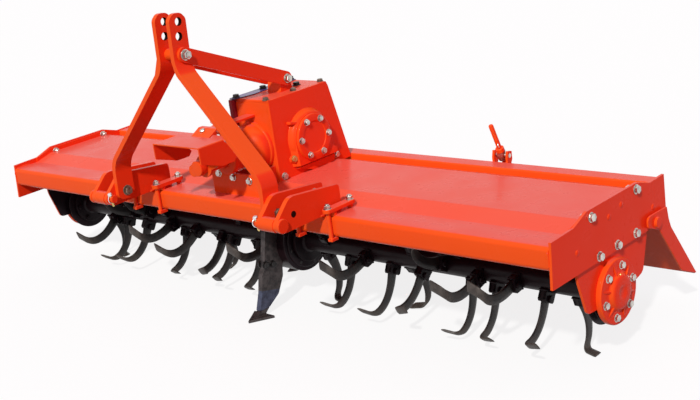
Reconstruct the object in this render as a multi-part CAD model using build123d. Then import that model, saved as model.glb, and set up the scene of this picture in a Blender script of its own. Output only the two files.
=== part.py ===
"""Rotary tiller for a tractor's three-point hitch, with a middle gear drive.

Working frame: X across the machine (+X its right side), Y to the rear, Z up.
x = 0 is the middle, y = 0 the front face of the beam, z = 0 the lower edge of the side
plates.  export() moves everything so that the origin lies under the middle of the whole
machine, on the ground.  All sizes are in millimetres.
"""
from build123d import *
import os
from math import atan2, cos, degrees, hypot, radians, sin, sqrt

os.makedirs("parts", exist_ok=True)

# ---------------------------------------------------------------- driving sizes
HALF_WIDTH = 1245.0          # mid-plane to the outer face of a side plate
PLATE = 8.0                  # side plate and bearing plate
SHEET = 4.0                  # hood
JOINT_GAP = 6.0              # between plates of different bodies
RUN_GAP = 0.09               # radial clearance of a running fit

# front beam, a closed section
BEAM_LOW = 47.0
BEAM_HEIGHT = 68.0
BEAM_DEPTH = 80.0
BEAM_WALL = 10.0
BEAM_ROUND = 14.0

# hood, a bent sheet behind the beam
HOOD_FLAT_Z = 134.0          # its highest face
HOOD_LEDGE_END = 102.0       # y where the front slope starts
HOOD_SLOPE_END = 175.0       # y where the front slope meets the flat
HOOD_FLAT_END = 445.0        # y where the flat ends
HOOD_DIP_Y = 515.0           # y of the low fold in front of the rear beam
HOOD_DIP_Z = 112.0
FLANGE_STAND = 22.0          # height of the hood's turned-up end flange

# rear beam, an angle along the hood's rear edge
REAR_EDGE = 578.0            # y of its rear face
REAR_TOP = 132.0
REAR_LEG = 62.0              # depth of the rear leg
REAR_WALL = 4.0

# side plate outline
SIDE_FRONT = -5.0
SIDE_FRONT_TOP = 128.0
SIDE_REAR = 592.0

# rotor
AXIS_Y = 292.0
AXIS_Z = -112.0
TINE_R = 214.0
TUBE_R = 36.0
TUBE_WALL = 8.0
TINE_PITCH = 45.0
TINE_STEP = 5.0              # tines stand at whole steps round the tube, in degrees
# one row a tine, from the case outwards, at even pitch: steps to the rear from the
# tine that stands on its tip's flat, and the side (+1 right) that the tip is bent to
TINES_RIGHT = [
    (22, 1), (0, 1), (40, -1), (28, 1), (-8, -1), (16, 1),
    (-19, -1), (30, 1), (-9, -1), (3, -1), (36, 1), (-13, 1),
    (20, -1), (46, 1), (32, -1), (-7, -1), (-19, -1), (-8, 1),
    (14, 1), (-20, -1), (26, 1), (-10, 1), (38, -1), (0, 1),
    (24, -1),
]
TINES_LEFT = [
    (-19, -1), (6, -1), (-8, 1), (0, 1), (34, -1), (-10, 1),
    (-12, 1), (18, -1), (3, -1), (-16, -1), (28, -1), (-8, 1),
    (-19, -1), (40, 1), (24, 1), (44, -1), (-10, -1), (46, -1),
    (30, 1), (-8, -1), (-15, -1), (40, 1), (0, 1), (24, -1),
    (34, 1),
]
TINE_LEAD = 40.0             # tangential place of the tip's leading corner
TINE_TRAIL = 98.0            # and of its trailing corner
TINE_SKEW = 0.5              # the bent tip trails by this much of its sideways reach
TINE_MARGIN = 22.0           # from a flange to the nearest tine
TINE_THICK = 8.0
TINE_WIDTH = 40.0            # of the blade's foot
TINE_FOOT = 50.0             # sideways reach of the bent tip
TINE_BEND_R = 26.0
SOCKET_R = 66.0              # outer radius of a tine's socket
REEL_FLANGE_R = 75.0
REEL_FLANGE = 12.0
SHIELD_R = 100.0             # disc that keeps trash off the end bearing
SHIELD = 4.0
SHAFT_R = 24.0

# lower case that drives the rotor at its middle
CASE_X = 0.0
CASE_HALF = 45.0
CASE_R = 110.0
CASE_WALL = 12.0
CASE_GAP = 6.0               # between the case and the rotor halves' flanges

# bearings at the ends
HOUSING_R = 95.0
HOUSING_INNER_R = 91.0       # its flange on the inner side
HOUSING_FLANGE = 18.0
HOUSING_INNER = 5.0
HOUSING_BOSS_R = 52.0
HOUSING_BOSS = 32.0

# gearbox
BOX_HALF = 92.0
BOX_LOW = 122.0
BOX_TOP = 396.0
BOX_FRONT = 170.0
BOX_REAR_TOP = 450.0
BOX_REAR_LOW = 517.0
BOX_WALL = 14.0
LID = 10.0
BOSS_Y = 326.0               # round boss and cover on each side
BOSS_Z = 247.0
BOSS_R = 98.0
BOSS = 22.0
BOSS_FLOOR = 165.0           # the boss is cut level here
BOSS_SKIRT = 30.0            # it widens to the rear above the cut by this much
SIDE_COVER = 12.0            # bolted cover on the left side
SIDE_RIM = 8.0               # it stands out past the case
SIDE_CORNER = 22.0
COVER_R = 78.0
COVER = 10.0
FOOT_PLATE_Y = 58.0          # bolting plate on the beam in front of the gearbox
FOOT_PLATE_HALF = 112.0
FOOT_PLATE_TOP = 188.0
INPUT_Z = 247.0
INPUT_R = 17.5
INPUT_NECK_R = 54.0
INPUT_END = -92.0            # y of the input shaft's free end
YOKE_Y = -62.0               # front face of the lobed flange on the input shaft
YOKE_REACH = 60.0
YOKE_LOBE_R = 20.0
YOKE = 12.0
JOURNAL_R = 26.0

# hitch
EAR_IN = 370.0               # centre of the inner ear
EAR_OUT = 440.0
EAR = 16.0
CROSS = 12.0                 # plate across the two ears of a bracket
CROSS_TOP = 168.0
PIN_Y = -178.0
PIN_Z = 139.0
PIN_R = 14.0
STRAP = 16.0
STRAP_W = 66.0
STRAP_FOOT_Y = -124.0        # middle of the bars at their lower bolts
STRAP_FOOT_Z = 154.0
STRAP_LEAN = 2.8             # lean of the mast to the rear, degrees
STRAP_BEND_LOW = 250.0
MAST_TOP = 744.0
CLAMP = 14.0
CLAMP_W = 38.0
CLAMP_FRONT = -24.0
CLAMP_ROD_R = 7.0
CLAMP_FOOT_HALF = 9.0
CLAMP_FOOT = (-16.0, 14.0)   # y of the foot under the beam's front edge
MAST_GAP_HALF = 26.0         # between the straps, where the top link goes
TOP_LINK_R = 12.75
TOP_LINK_HOLES = ((-93.0, 717.0), (-100.0, 673.0))
BRACE_Y = -98.0              # bolt that joins the straps and the stays
BRACE_Z = 616.0
BRACE_R = 10.0
STAY = 10.0
STAY_W = 47.0
STAY_REAR_Y = 307.0
STAY_REAR_Z = 447.0

# input guard
GUARD_HALF = 111.0
GUARD_FRONT = -158.0
GUARD_REAR = -55.0
GUARD_TAB_HALF = 43.0        # tab that rises to the arm
GUARD_TAB_Y = -18.0
GUARD_TAB_Z = 362.0
GUARD_ARM_HALF = 20.0
GUARD_TOP = 342.0
GUARD_SIDE = 52.0
GUARD_SHEET = 4.0

# rear board and its rods
BOARD_SHEET = 3.0
PIVOT_Y = 515.0
PIVOT_Z = 16.0
PIVOT_R = 10.0
BOARD_TOP_Y = 594.0          # top edge of the sheet
BOARD_TOP_Z = -23.0
BOARD_LOW_Y = 730.0
BOARD_LOW_Z = -217.0
BOARD_END = 6.0
BOARD_RANGE = 30.0
ROD_X = 680.0
ROD_R = 8.0
ROD_TOP = 118.0              # rod above the swivel
SWIVEL_Y = 592.0
SWIVEL_Z = 150.0
LUG_ALONG = 53.0             # rod pin: down the board
LUG_OUT = 51.0               # and out from it

# share in front of the rotor's undriven middle
SHARE = 20.0
SHARE_TIP_Y = 11.0
SHARE_REAR_Y = 88.0
SHARE_HALF = 50.0
SHARE_BLADE = 10.0
SHARE_TOP = 26.0             # seam between point and shank, above the ground

BEAM_TOP = BEAM_LOW + BEAM_HEIGHT
CLAMP_NEAR = EAR_IN - EAR / 2 - CLAMP_W / 2 - 7  # clamp on the inner side of a bracket
CLAMP_FAR = EAR_OUT + EAR / 2 + CLAMP_W / 2 + 5  # and the one on its outer side
INNER = HALF_WIDTH - PLATE                     # inner face of a side plate
BEARING_INNER = INNER - PLATE                  # inner face of a bearing plate
LEAD_RISE = sqrt(TINE_R ** 2 - TINE_LEAD ** 2)
TRAIL_RISE = sqrt(TINE_R ** 2 - TINE_TRAIL ** 2)
TINE_SEAM = TINE_TRAIL - TINE_SKEW * TINE_FOOT   # trailing corner at the blade's mid-plane
TIP_TILT = degrees(atan2(LEAD_RISE - TRAIL_RISE, TINE_TRAIL - TINE_LEAD))
SEAM_RISE = TRAIL_RISE + (TINE_TRAIL - TINE_SEAM) * (LEAD_RISE - TRAIL_RISE) / (TINE_TRAIL - TINE_LEAD)
TIP_RISE = LEAD_RISE * cos(radians(TIP_TILT)) + TINE_LEAD * sin(radians(TIP_TILT))
GROUND = AXIS_Z - TIP_RISE                     # flats of the lowest tines' tips


# ---------------------------------------------------------------- helpers
def yz_plate(points, x_low, thick):
    """Plate across X from a closed (y, z) outline."""
    face = make_face(Plane.YZ * Polyline(*points, close=True))
    return extrude(face, amount=thick, dir=(1, 0, 0)).moved(Location((x_low, 0, 0)))


def disc_x(x_low, thick, radius, y=AXIS_Y, z=AXIS_Z):
    """Round disc or pin along X, from x_low."""
    plane = Plane((x_low, y, z), x_dir=(0, 1, 0), z_dir=(1, 0, 0))
    return extrude(plane * Circle(radius), amount=thick)


def pin_between(start, end, radius):
    """Round bar from one point to another."""
    run = Vector(*end) - Vector(*start)
    plane = Plane(Vector(*start), z_dir=run.normalized())
    return extrude(plane * Circle(radius), amount=run.length)


def block(x, y, z):
    """Box from three (low, high) pairs."""
    size = [b - a for a, b in (x, y, z)]
    middle = [(a + b) / 2 for a, b in (x, y, z)]
    return Pos(*middle) * Box(*size)


def mirror_x(shape):
    return mirror(shape, about=Plane.YZ)


def one(shape):
    """The shape as one solid, or as the solids that it is made of."""
    solids = shape.solids()
    if len(solids) == 1:
        return solids[0]
    return Compound(children=list(solids))


def section_sheet(points, thick):
    """Closed (y, z) outline of a sheet whose outer face runs along the points."""
    path = [Vector(y, z) for y, z in points]
    normals = []
    for a, b in zip(path, path[1:]):
        run = (b - a).normalized()
        normals.append(Vector(run.Y, -run.X))
    inner = [path[0] + normals[0] * thick]
    for before, after, corner in zip(normals, normals[1:], path[1:-1]):
        half = (before + after).normalized()
        inner.append(corner + half * (thick / half.dot(before)))
    inner.append(path[-1] + normals[-1] * thick)
    return [(p.X, p.Y) for p in path + inner[::-1]]


# ---------------------------------------------------------------- frame
def hood_top_points():
    """Outer face of the hood from the beam to the rear beam."""
    return [
        (BEAM_DEPTH, BEAM_TOP - 1),
        (HOOD_LEDGE_END, BEAM_TOP - 1),
        (HOOD_SLOPE_END, HOOD_FLAT_Z),
        (HOOD_FLAT_END, HOOD_FLAT_Z),
        (HOOD_DIP_Y, HOOD_DIP_Z),
    ]


def side_plate():
    outline = [
        (SIDE_FRONT, 0),
        (5, SIDE_FRONT_TOP),
        (HOOD_SLOPE_END - 63, SIDE_FRONT_TOP + 3),
        (HOOD_SLOPE_END + 6, HOOD_FLAT_Z + FLANGE_STAND),
        (HOOD_FLAT_END - 3, HOOD_FLAT_Z + FLANGE_STAND),
        (HOOD_DIP_Y - 3, HOOD_DIP_Z + FLANGE_STAND),
        (SIDE_REAR, REAR_TOP + 4),
        (SIDE_REAR, 0),
    ]
    plate = yz_plate(outline, INNER, PLATE)
    return plate - disc_x(INNER - 1, PLATE + 2, PIVOT_R, PIVOT_Y, PIVOT_Z)


def front_beam():
    middle_y = BEAM_DEPTH / 2
    middle_z = BEAM_LOW + BEAM_HEIGHT / 2
    plane = Plane((-INNER, middle_y, middle_z), x_dir=(0, 1, 0), z_dir=(1, 0, 0))
    outer = RectangleRounded(BEAM_DEPTH, BEAM_HEIGHT, BEAM_ROUND)
    bore = RectangleRounded(
        BEAM_DEPTH - 2 * BEAM_WALL, BEAM_HEIGHT - 2 * BEAM_WALL, BEAM_ROUND - BEAM_WALL
    )
    return extrude(plane * (outer - bore), amount=2 * INNER)


def hood():
    """Right half of the hood with its turned-up end flange."""
    points = hood_top_points()
    sheet = yz_plate(section_sheet(points, SHEET), BOX_HALF, INNER - BOX_HALF)
    rim = [(y, z + FLANGE_STAND - 4) for y, z in points[2:]]
    flange = yz_plate(points[1:2] + rim + points[:0:-1][:3], INNER - SHEET, SHEET)
    return sheet + flange


def rear_beam():
    outline = section_sheet(
        [
            (HOOD_DIP_Y, HOOD_DIP_Z - SHEET - 6),
            (HOOD_DIP_Y + REAR_WALL, REAR_TOP),
            (REAR_EDGE, REAR_TOP),
            (REAR_EDGE, REAR_TOP - REAR_LEG),
        ],
        REAR_WALL,
    )
    return yz_plate(outline, -INNER, 2 * INNER)


def bearing_plate():
    outline = [
        (AXIS_Y - 170, 56),
        (AXIS_Y - 170, -20),
        (AXIS_Y - 136, AXIS_Z - 20),
        (AXIS_Y - 66, AXIS_Z - 26),
        (AXIS_Y + 130, AXIS_Z - 12),
        (AXIS_Y + 164, AXIS_Z - 3),
        (AXIS_Y + 198, -14),
        (AXIS_Y + 198, 56),
    ]
    plate = yz_plate(outline, BEARING_INNER, PLATE)
    return plate - disc_x(BEARING_INNER - 1, PLATE + 2, HOUSING_BOSS_R - 8)


def bearing_housing():
    """Flanged end bearing on the outside of its plate, with a domed boss."""
    flange = disc_x(INNER, HOUSING_FLANGE, HOUSING_R)
    inner = BEARING_INNER - HOUSING_INNER
    flange += disc_x(inner, HOUSING_INNER, HOUSING_INNER_R)
    spigot = disc_x(BEARING_INNER, PLATE, HOUSING_BOSS_R - 8)
    rise = HOUSING_BOSS - HOUSING_FLANGE
    plane = Plane((INNER + HOUSING_FLANGE, AXIS_Y, AXIS_Z), x_dir=(0, 1, 0), z_dir=(1, 0, 0))
    boss = extrude(plane * Circle(HOUSING_BOSS_R), amount=rise, taper=30)
    body = flange + spigot + boss
    depth = INNER + HOUSING_BOSS - 10 - inner
    return body - disc_x(inner - 1, depth + 1, SHAFT_R + RUN_GAP)


# ---------------------------------------------------------------- gearbox
def gearbox():
    """Cast housing, open at the top, with a round boss on each side."""
    outline = [
        (BOX_FRONT, BOX_LOW),
        (BOX_FRONT, BOX_TOP),
        (BOX_REAR_TOP, BOX_TOP),
        (BOX_REAR_LOW, BOX_LOW),
    ]
    body = yz_plate(outline, -BOX_HALF, 2 * BOX_HALF)
    room = [
        (BOX_FRONT + BOX_WALL, BOX_LOW + BOX_WALL),
        (BOX_FRONT + BOX_WALL, BOX_TOP),
        (BOX_REAR_TOP - BOX_WALL, BOX_TOP),
        (BOX_REAR_LOW - 2 * BOX_WALL, BOX_LOW + BOX_WALL),
    ]
    corners = body.edges().filter_by(Axis.X).group_by(Axis.Z)[-1]
    upright = body.edges().filter_by(Axis.Z)
    body = chamfer(corners + upright, 6)
    body += side_boss(BOX_HALF, BOSS)
    return body - yz_plate(room, BOX_WALL - BOX_HALF, 2 * (BOX_HALF - BOX_WALL))


def side_boss(x_low, thick):
    """Round boss of a side, cut level below, where it is wider to the rear."""
    under = block(
        (x_low - 1, x_low + thick + 1),
        (BOSS_Y - 2 * BOSS_R, BOSS_Y + 2 * BOSS_R),
        (BOSS_FLOOR - BOSS_R, BOSS_FLOOR),
    )
    skirt = [
        (BOSS_Y - BOSS_R, BOSS_Z),
        (BOSS_Y - BOSS_R + 8, BOSS_FLOOR),
        (BOSS_Y + BOSS_R + BOSS_SKIRT, BOSS_FLOOR),
        (BOSS_Y + BOSS_R + BOSS_SKIRT, BOSS_FLOOR + 22),
        (BOSS_Y + BOSS_R, BOSS_Z),
    ]
    round_part = disc_x(x_low, thick, BOSS_R, BOSS_Y, BOSS_Z)
    return round_part + yz_plate(skirt, x_low, thick) - under


def gearbox_side_plate():
    """Bolted cover over the gearbox's left side, a little larger than the case."""
    top = BOX_TOP + SIDE_RIM
    outline = [
        (BOX_FRONT - SIDE_RIM, HOOD_FLAT_Z),
        (BOX_FRONT - SIDE_RIM, top - SIDE_CORNER),
        (BOX_FRONT - SIDE_RIM + SIDE_CORNER, top),
        (BOX_REAR_TOP - SIDE_CORNER, top),
        (BOX_REAR_TOP + SIDE_RIM, top - SIDE_CORNER),
        (BOX_REAR_LOW + SIDE_RIM - 4, HOOD_FLAT_Z),
    ]
    plate = yz_plate(outline, -BOX_HALF - SIDE_COVER, SIDE_COVER)
    return plate + side_boss(-BOX_HALF - BOSS, BOSS - SIDE_COVER)


def gearbox_lid():
    edge = 4
    lid = block(
        (edge - BOX_HALF, BOX_HALF - edge),
        (BOX_FRONT + edge, BOX_REAR_TOP - edge),
        (BOX_TOP, BOX_TOP + LID),
    )
    return chamfer(lid.edges().group_by(Axis.Z)[-1], 3)


def gearbox_cover():
    """Round bearing cover, thinner inside its bolt ring."""
    face = BOX_HALF + BOSS
    cover = disc_x(face, COVER, COVER_R, BOSS_Y, BOSS_Z)
    cover = chamfer(cover.edges().sort_by(Axis.X)[-1], 2)
    return cover - disc_x(face + COVER - 3, 3, COVER_R - 26, BOSS_Y, BOSS_Z)


def input_housing():
    """Input bearing carrier on the gearbox's front."""
    plane = Plane((0, BOX_FRONT, INPUT_Z), z_dir=(0, -1, 0))
    flange = extrude(plane * Circle(INPUT_NECK_R + 26), amount=14)
    neck = extrude(plane * Circle(INPUT_NECK_R), amount=BOX_FRONT - FOOT_PLATE_Y + 34)
    bore = extrude(plane * Circle(JOURNAL_R + RUN_GAP), amount=BOX_FRONT)
    return flange + neck - bore


def gearbox_foot():
    """Bolting plate of the gearbox on the beam, with two webs back to the case."""
    plate = block(
        (-FOOT_PLATE_HALF, FOOT_PLATE_HALF),
        (FOOT_PLATE_Y, FOOT_PLATE_Y + 10),
        (BEAM_TOP, FOOT_PLATE_TOP),
    )
    for side in (-1, 1):
        web = sorted((side * 68, side * 80))
        plate += block(web, (FOOT_PLATE_Y + 10, BOX_FRONT), (BOX_LOW, FOOT_PLATE_TOP))
    return plate


def case_outline(wall):
    """(y, z) outline of the lower case's upper part, inside a wall."""
    return [
        (AXIS_Y - CASE_R + wall, AXIS_Z),
        (AXIS_Y - CASE_R + 40 + wall, BOX_LOW),
        (AXIS_Y + CASE_R + 40 - wall, BOX_LOW),
        (AXIS_Y + CASE_R - wall, AXIS_Z),
    ]


def lower_case():
    """Narrow case from the gearbox down to the rotor, open at the top."""
    low = CASE_X - CASE_HALF
    wide = 2 * CASE_HALF
    body = disc_x(low, wide, CASE_R) + yz_plate(case_outline(0), low, wide)
    room = disc_x(low + CASE_WALL, wide - 2 * CASE_WALL, CASE_R - CASE_WALL)
    room += yz_plate(case_outline(CASE_WALL), low + CASE_WALL, wide - 2 * CASE_WALL)
    return body - room - disc_x(low - 1, wide + 2, SHAFT_R + RUN_GAP)


def input_guard():
    """Bent cover over the input shaft, with a tab that rises to its arm."""
    outline = [
        (-GUARD_HALF, GUARD_TOP - GUARD_SIDE),
        (-GUARD_HALF, GUARD_TOP),
        (GUARD_HALF, GUARD_TOP),
        (GUARD_HALF, GUARD_TOP - GUARD_SIDE),
    ]
    plane = Plane((0, GUARD_REAR, 0), x_dir=(1, 0, 0), z_dir=(0, -1, 0))
    face = make_face(plane * Polyline(*section_sheet(outline, GUARD_SHEET), close=True))
    cover = extrude(face, amount=GUARD_REAR - GUARD_FRONT, dir=(0, -1, 0))
    rise = [
        (GUARD_REAR - 30, GUARD_TOP),
        (GUARD_REAR, GUARD_TOP),
        (GUARD_TAB_Y, GUARD_TAB_Z),
        (GUARD_TAB_Y + 16, GUARD_TAB_Z),
    ]
    tab = yz_plate(section_sheet(rise, GUARD_SHEET), -GUARD_TAB_HALF, 2 * GUARD_TAB_HALF)
    return cover + tab


def guard_arm():
    """Flat bar from the gearbox's front forward under the guard's tab."""
    low = GUARD_TAB_Z - GUARD_SHEET - 8
    return block(
        (-GUARD_ARM_HALF, GUARD_ARM_HALF),
        (GUARD_TAB_Y + 2, BOX_FRONT),
        (low, GUARD_TAB_Z - GUARD_SHEET),
    )


# ---------------------------------------------------------------- hitch
def hitch_bracket():
    """Two ears and a cross plate on the beam, bored for the lower link's pin."""
    outline = [
        (-174, 113),
        (-196, 126),
        (-199, 146),
        (-136, 206),
        (-118, 211),
        (78, 189),
        (78, BEAM_TOP),
        (-20, BEAM_TOP),
    ]
    bracket = block(
        (EAR_IN - EAR / 2, EAR_OUT + EAR / 2),
        (0, CROSS),
        (BEAM_TOP, CROSS_TOP),
    )
    for x in (EAR_IN, EAR_OUT):
        bracket += yz_plate(outline, x - EAR / 2, EAR)
    return bracket - disc_x(EAR_IN - EAR, EAR_OUT - EAR_IN + 2 * EAR, PIN_R, PIN_Y, PIN_Z)


def hitch_pin():
    """Lower link pin with its head outside and a sleeve between the ears."""
    low = EAR_IN - EAR / 2 - 18
    high = EAR_OUT + EAR / 2
    shank = disc_x(low, high - low, PIN_R, PIN_Y, PIN_Z)
    head = disc_x(high, 10, PIN_R + 8, PIN_Y, PIN_Z)
    sleeve_low = EAR_IN + EAR / 2
    sleeve = disc_x(sleeve_low, EAR_OUT - EAR_IN - EAR, PIN_R + 8, PIN_Y, PIN_Z)
    return shank + head + sleeve


def mast_strap():
    """Right bar of the mast: upright at the top, spread out to the hitch bracket."""
    foot_x = EAR_IN - EAR / 2 - STRAP
    outline = [
        (MAST_GAP_HALF, MAST_TOP),
        (MAST_GAP_HALF, BRACE_Z - 44),
        (foot_x, STRAP_BEND_LOW),
        (foot_x, BEAM_TOP + 12),
    ]
    plane = Plane((0, STRAP_FOOT_Y - STRAP_W / 2, 0), x_dir=(1, 0, 0), z_dir=(0, -1, 0))
    face = make_face(plane * Polyline(*section_sheet(outline, -STRAP), close=True))
    bar = extrude(face, amount=STRAP_W, dir=(0, 1, 0))
    bar = chamfer(bar.edges().filter_by(Axis.X).group_by(Axis.Z)[-1], 18)
    foot = Axis((0, STRAP_FOOT_Y, STRAP_FOOT_Z), (1, 0, 0))
    bar = bar.rotate(foot, -STRAP_LEAN)
    for y, z in TOP_LINK_HOLES:
        bar -= disc_x(MAST_GAP_HALF - 1, STRAP + 2, TOP_LINK_R, y, z)
    return bar - disc_x(MAST_GAP_HALF - 1, STRAP + 2, BRACE_R, BRACE_Y, BRACE_Z)


def mast_spacer():
    tube = disc_x(-MAST_GAP_HALF, 2 * MAST_GAP_HALF, BRACE_R + 8, BRACE_Y, BRACE_Z)
    reach = MAST_GAP_HALF + STRAP + STAY + 14
    return tube + disc_x(-reach, 2 * reach, BRACE_R, BRACE_Y, BRACE_Z)


def stay():
    """Flat bar from the mast's bolt back to the gearbox's lug."""
    run = Vector(0, STAY_REAR_Y - BRACE_Y, STAY_REAR_Z - BRACE_Z)
    plane = Plane(
        (MAST_GAP_HALF + STRAP, (BRACE_Y + STAY_REAR_Y) / 2, (BRACE_Z + STAY_REAR_Z) / 2),
        x_dir=run.normalized(),
        z_dir=(1, 0, 0),
    )
    bar = extrude(plane * SlotCenterToCenter(run.length, STAY_W), amount=STAY)
    for y, z in ((BRACE_Y, BRACE_Z), (STAY_REAR_Y, STAY_REAR_Z)):
        bar -= disc_x(MAST_GAP_HALF + STRAP - 1, STAY + 2, BRACE_R, y, z)
    return bar


def stay_lug():
    """Lug on the gearbox lid between the rear ends of the stays."""
    reach = MAST_GAP_HALF + STRAP
    base = BOX_TOP + LID
    lug = block((-reach, reach), (STAY_REAR_Y - 30, STAY_REAR_Y + 30), (base, STAY_REAR_Z + 14))
    pin = disc_x(-reach - STAY - 12, 2 * (reach + STAY + 12), BRACE_R, STAY_REAR_Y, STAY_REAR_Z)
    return lug + pin


def beam_clamp(x_middle):
    """Clamp plate on the beam, drawn down by a rod with a foot under the front edge."""
    middle = (CLAMP_FRONT + BEAM_DEPTH) / 2
    plane = Plane((x_middle, middle, BEAM_TOP), x_dir=(0, 1, 0), z_dir=(0, 0, 1))
    plate = extrude(plane * SlotOverall(BEAM_DEPTH - CLAMP_FRONT, CLAMP_W), amount=CLAMP)
    rod = pin_between(
        (x_middle, -CLAMP_ROD_R - 1, BEAM_LOW - 6), (x_middle, -CLAMP_ROD_R - 1, BEAM_TOP), CLAMP_ROD_R
    )
    foot_x = (x_middle - CLAMP_FOOT_HALF, x_middle + CLAMP_FOOT_HALF)
    return plate + rod + block(foot_x, CLAMP_FOOT, (BEAM_LOW - 10, BEAM_LOW))


# ---------------------------------------------------------------- share
def share_shank():
    """Leg from the front of the case, to which it is fixed, down to the point."""
    outline = [
        (AXIS_Y, AXIS_Z),
        (AXIS_Y - 97, AXIS_Z - 60),
        (AXIS_Y - 103, AXIS_Z - 102),
        (AXIS_Y - 135, AXIS_Z - 156),
        (SHARE_REAR_Y + 20, GROUND + SHARE_TOP),
        (SHARE_REAR_Y - 26, GROUND + SHARE_TOP),
        (AXIS_Y - 208, AXIS_Z - 128),
        (AXIS_Y - 195, AXIS_Z - 68),
        (AXIS_Y - 180, AXIS_Z - 50),
        (AXIS_Y - 172, AXIS_Z - 12),
        (AXIS_Y - 152, AXIS_Z + 72),
        (AXIS_Y - 132, AXIS_Z + 92),
        (AXIS_Y - 92, AXIS_Z + 92),
    ]
    plate = yz_plate(outline, CASE_X - SHARE / 2, SHARE)
    plate -= yz_plate(case_outline(0), CASE_X - SHARE, 2 * SHARE)
    return plate - disc_x(CASE_X - SHARE, 2 * SHARE, CASE_R)


def share_point():
    """Dovetail point, broad at the rear, on the foot of the shank."""
    plane = Plane((CASE_X, 0, GROUND), x_dir=(1, 0, 0), z_dir=(0, 0, 1))
    wing = [(0, SHARE_TIP_Y), (SHARE_HALF, SHARE_REAR_Y), (-SHARE_HALF, SHARE_REAR_Y)]
    base = extrude(make_face(plane * Polyline(*wing, close=True)), amount=SHARE_BLADE)
    neck = yz_plate(
        [
            (SHARE_TIP_Y + 17, GROUND + SHARE_BLADE),
            (SHARE_REAR_Y, GROUND + SHARE_BLADE),
            (SHARE_REAR_Y + 20, GROUND + SHARE_TOP),
            (SHARE_REAR_Y - 26, GROUND + SHARE_TOP),
        ],
        CASE_X - SHARE / 2,
        SHARE,
    )
    return base + neck


# ---------------------------------------------------------------- rotor
def tine():
    """Blade at the top of the reel, swept back from -Y, with its tip bent to +X."""
    half = TINE_WIDTH / 2
    over = 12  # the side outline runs on past the tip's flat, which then cuts it
    side = [
        (-half, TUBE_R - 4),
        (-half, SOCKET_R),
        (-half - 1, 0.49 * TINE_R),
        (-half + 7, 0.70 * TINE_R),
        (8, 0.874 * TINE_R),
        (TINE_LEAD + over, LEAD_RISE + 0.725 * over),
        (TINE_SEAM + over, SEAM_RISE + 0.96 * over),
        (TINE_SEAM - 28, 0.804 * TINE_R),
        (half + 8, 0.654 * TINE_R),
        (half + 2, 0.49 * TINE_R),
        (half, SOCKET_R),
        (half, TUBE_R - 4),
    ]
    face = make_face(Plane.YZ * Polyline(*side, close=True))
    reach = TINE_FOOT + TINE_THICK
    blade = extrude(face, amount=reach, dir=(1, TINE_SKEW, 0))
    blade += extrude(face, amount=TINE_THICK, dir=(-1, 0, 0))
    cut = TINE_BEND_R * (1 - 1 / sqrt(2))
    half_t = TINE_THICK / 2
    outer = [
        (-half_t, 0),
        (-half_t, TIP_RISE - TINE_BEND_R),
        (-half_t + cut, TIP_RISE - cut),
        (-half_t + TINE_BEND_R, TIP_RISE),
        (TINE_FOOT, TIP_RISE),
    ]
    band = make_face(Plane.XZ * Polyline(*section_sheet(outer, TINE_THICK), close=True))
    band = extrude(band, amount=2 * TINE_R, both=True)
    return blade & band.rotate(Axis.X, -TIP_TILT)


def reel(side):
    """One half of the rotor: tube, tines in their sockets and end flanges."""
    inner = CASE_X + side * (CASE_HALF + CASE_GAP)
    outer = side * (BEARING_INNER - 20)
    low, high = min(inner, outer), max(inner, outer)
    body = disc_x(low, high - low, TUBE_R)
    knife = tine()
    half = TINE_WIDTH / 2 + 4
    knife += block((-13, 13), (-half, half), (TUBE_R - 10, SOCKET_R))
    hands = {1: knife, -1: mirror_x(knife)}
    start = inner + side * (REEL_FLANGE + TINE_MARGIN)
    pieces = []
    for n, (steps, hand) in enumerate(TINES_RIGHT if side > 0 else TINES_LEFT):
        turned = hands[hand].rotate(Axis.X, 180 + TIP_TILT + TINE_STEP * steps)
        pieces.append(turned.moved(Location((start + side * n * TINE_PITCH, AXIS_Y, AXIS_Z))))
    flange_in = disc_x(min(inner, inner + side * REEL_FLANGE), REEL_FLANGE, REEL_FLANGE_R)
    flange_out = disc_x(min(outer, outer - side * REEL_FLANGE), REEL_FLANGE, REEL_FLANGE_R)
    return body.fuse(*pieces, flange_in, flange_out)


def centre_shaft():
    low = CASE_X - CASE_HALF - CASE_GAP
    high = CASE_X + CASE_HALF + CASE_GAP
    return disc_x(low, high - low, SHAFT_R)


def end_shaft():
    """Flanged stub that runs in the end bearing, with its shield."""
    outer = BEARING_INNER - 20
    shield = disc_x(outer, SHIELD, SHIELD_R)
    return shield + disc_x(outer, 20 + PLATE + HOUSING_BOSS - 14, SHAFT_R)


# ---------------------------------------------------------------- rear board
def rear_board():
    outline = section_sheet([(BOARD_TOP_Y, BOARD_TOP_Z), (BOARD_LOW_Y, BOARD_LOW_Z)], BOARD_SHEET)
    reach = HALF_WIDTH + JOINT_GAP
    return yz_plate(outline, -reach, 2 * reach)


def board_end():
    """End plate of the board and the arm that swings on the side plate, in one piece."""
    outline = [
        (PIVOT_Y - 48, PIVOT_Z - 3),
        (PIVOT_Y - 48, PIVOT_Z + 22),
        (PIVOT_Y - 36, PIVOT_Z + 29),
        (PIVOT_Y + 62, PIVOT_Z + 27),
        (PIVOT_Y + 69, PIVOT_Z - 11),
        (BOARD_TOP_Y, BOARD_TOP_Z),
        (BOARD_LOW_Y, BOARD_LOW_Z),
        (BOARD_LOW_Y - 87, BOARD_LOW_Z + 39),
        (PIVOT_Y + 14, PIVOT_Z - 28),
        (PIVOT_Y - 30, PIVOT_Z - 9),
    ]
    return yz_plate(outline, HALF_WIDTH + JOINT_GAP, BOARD_END)


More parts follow.
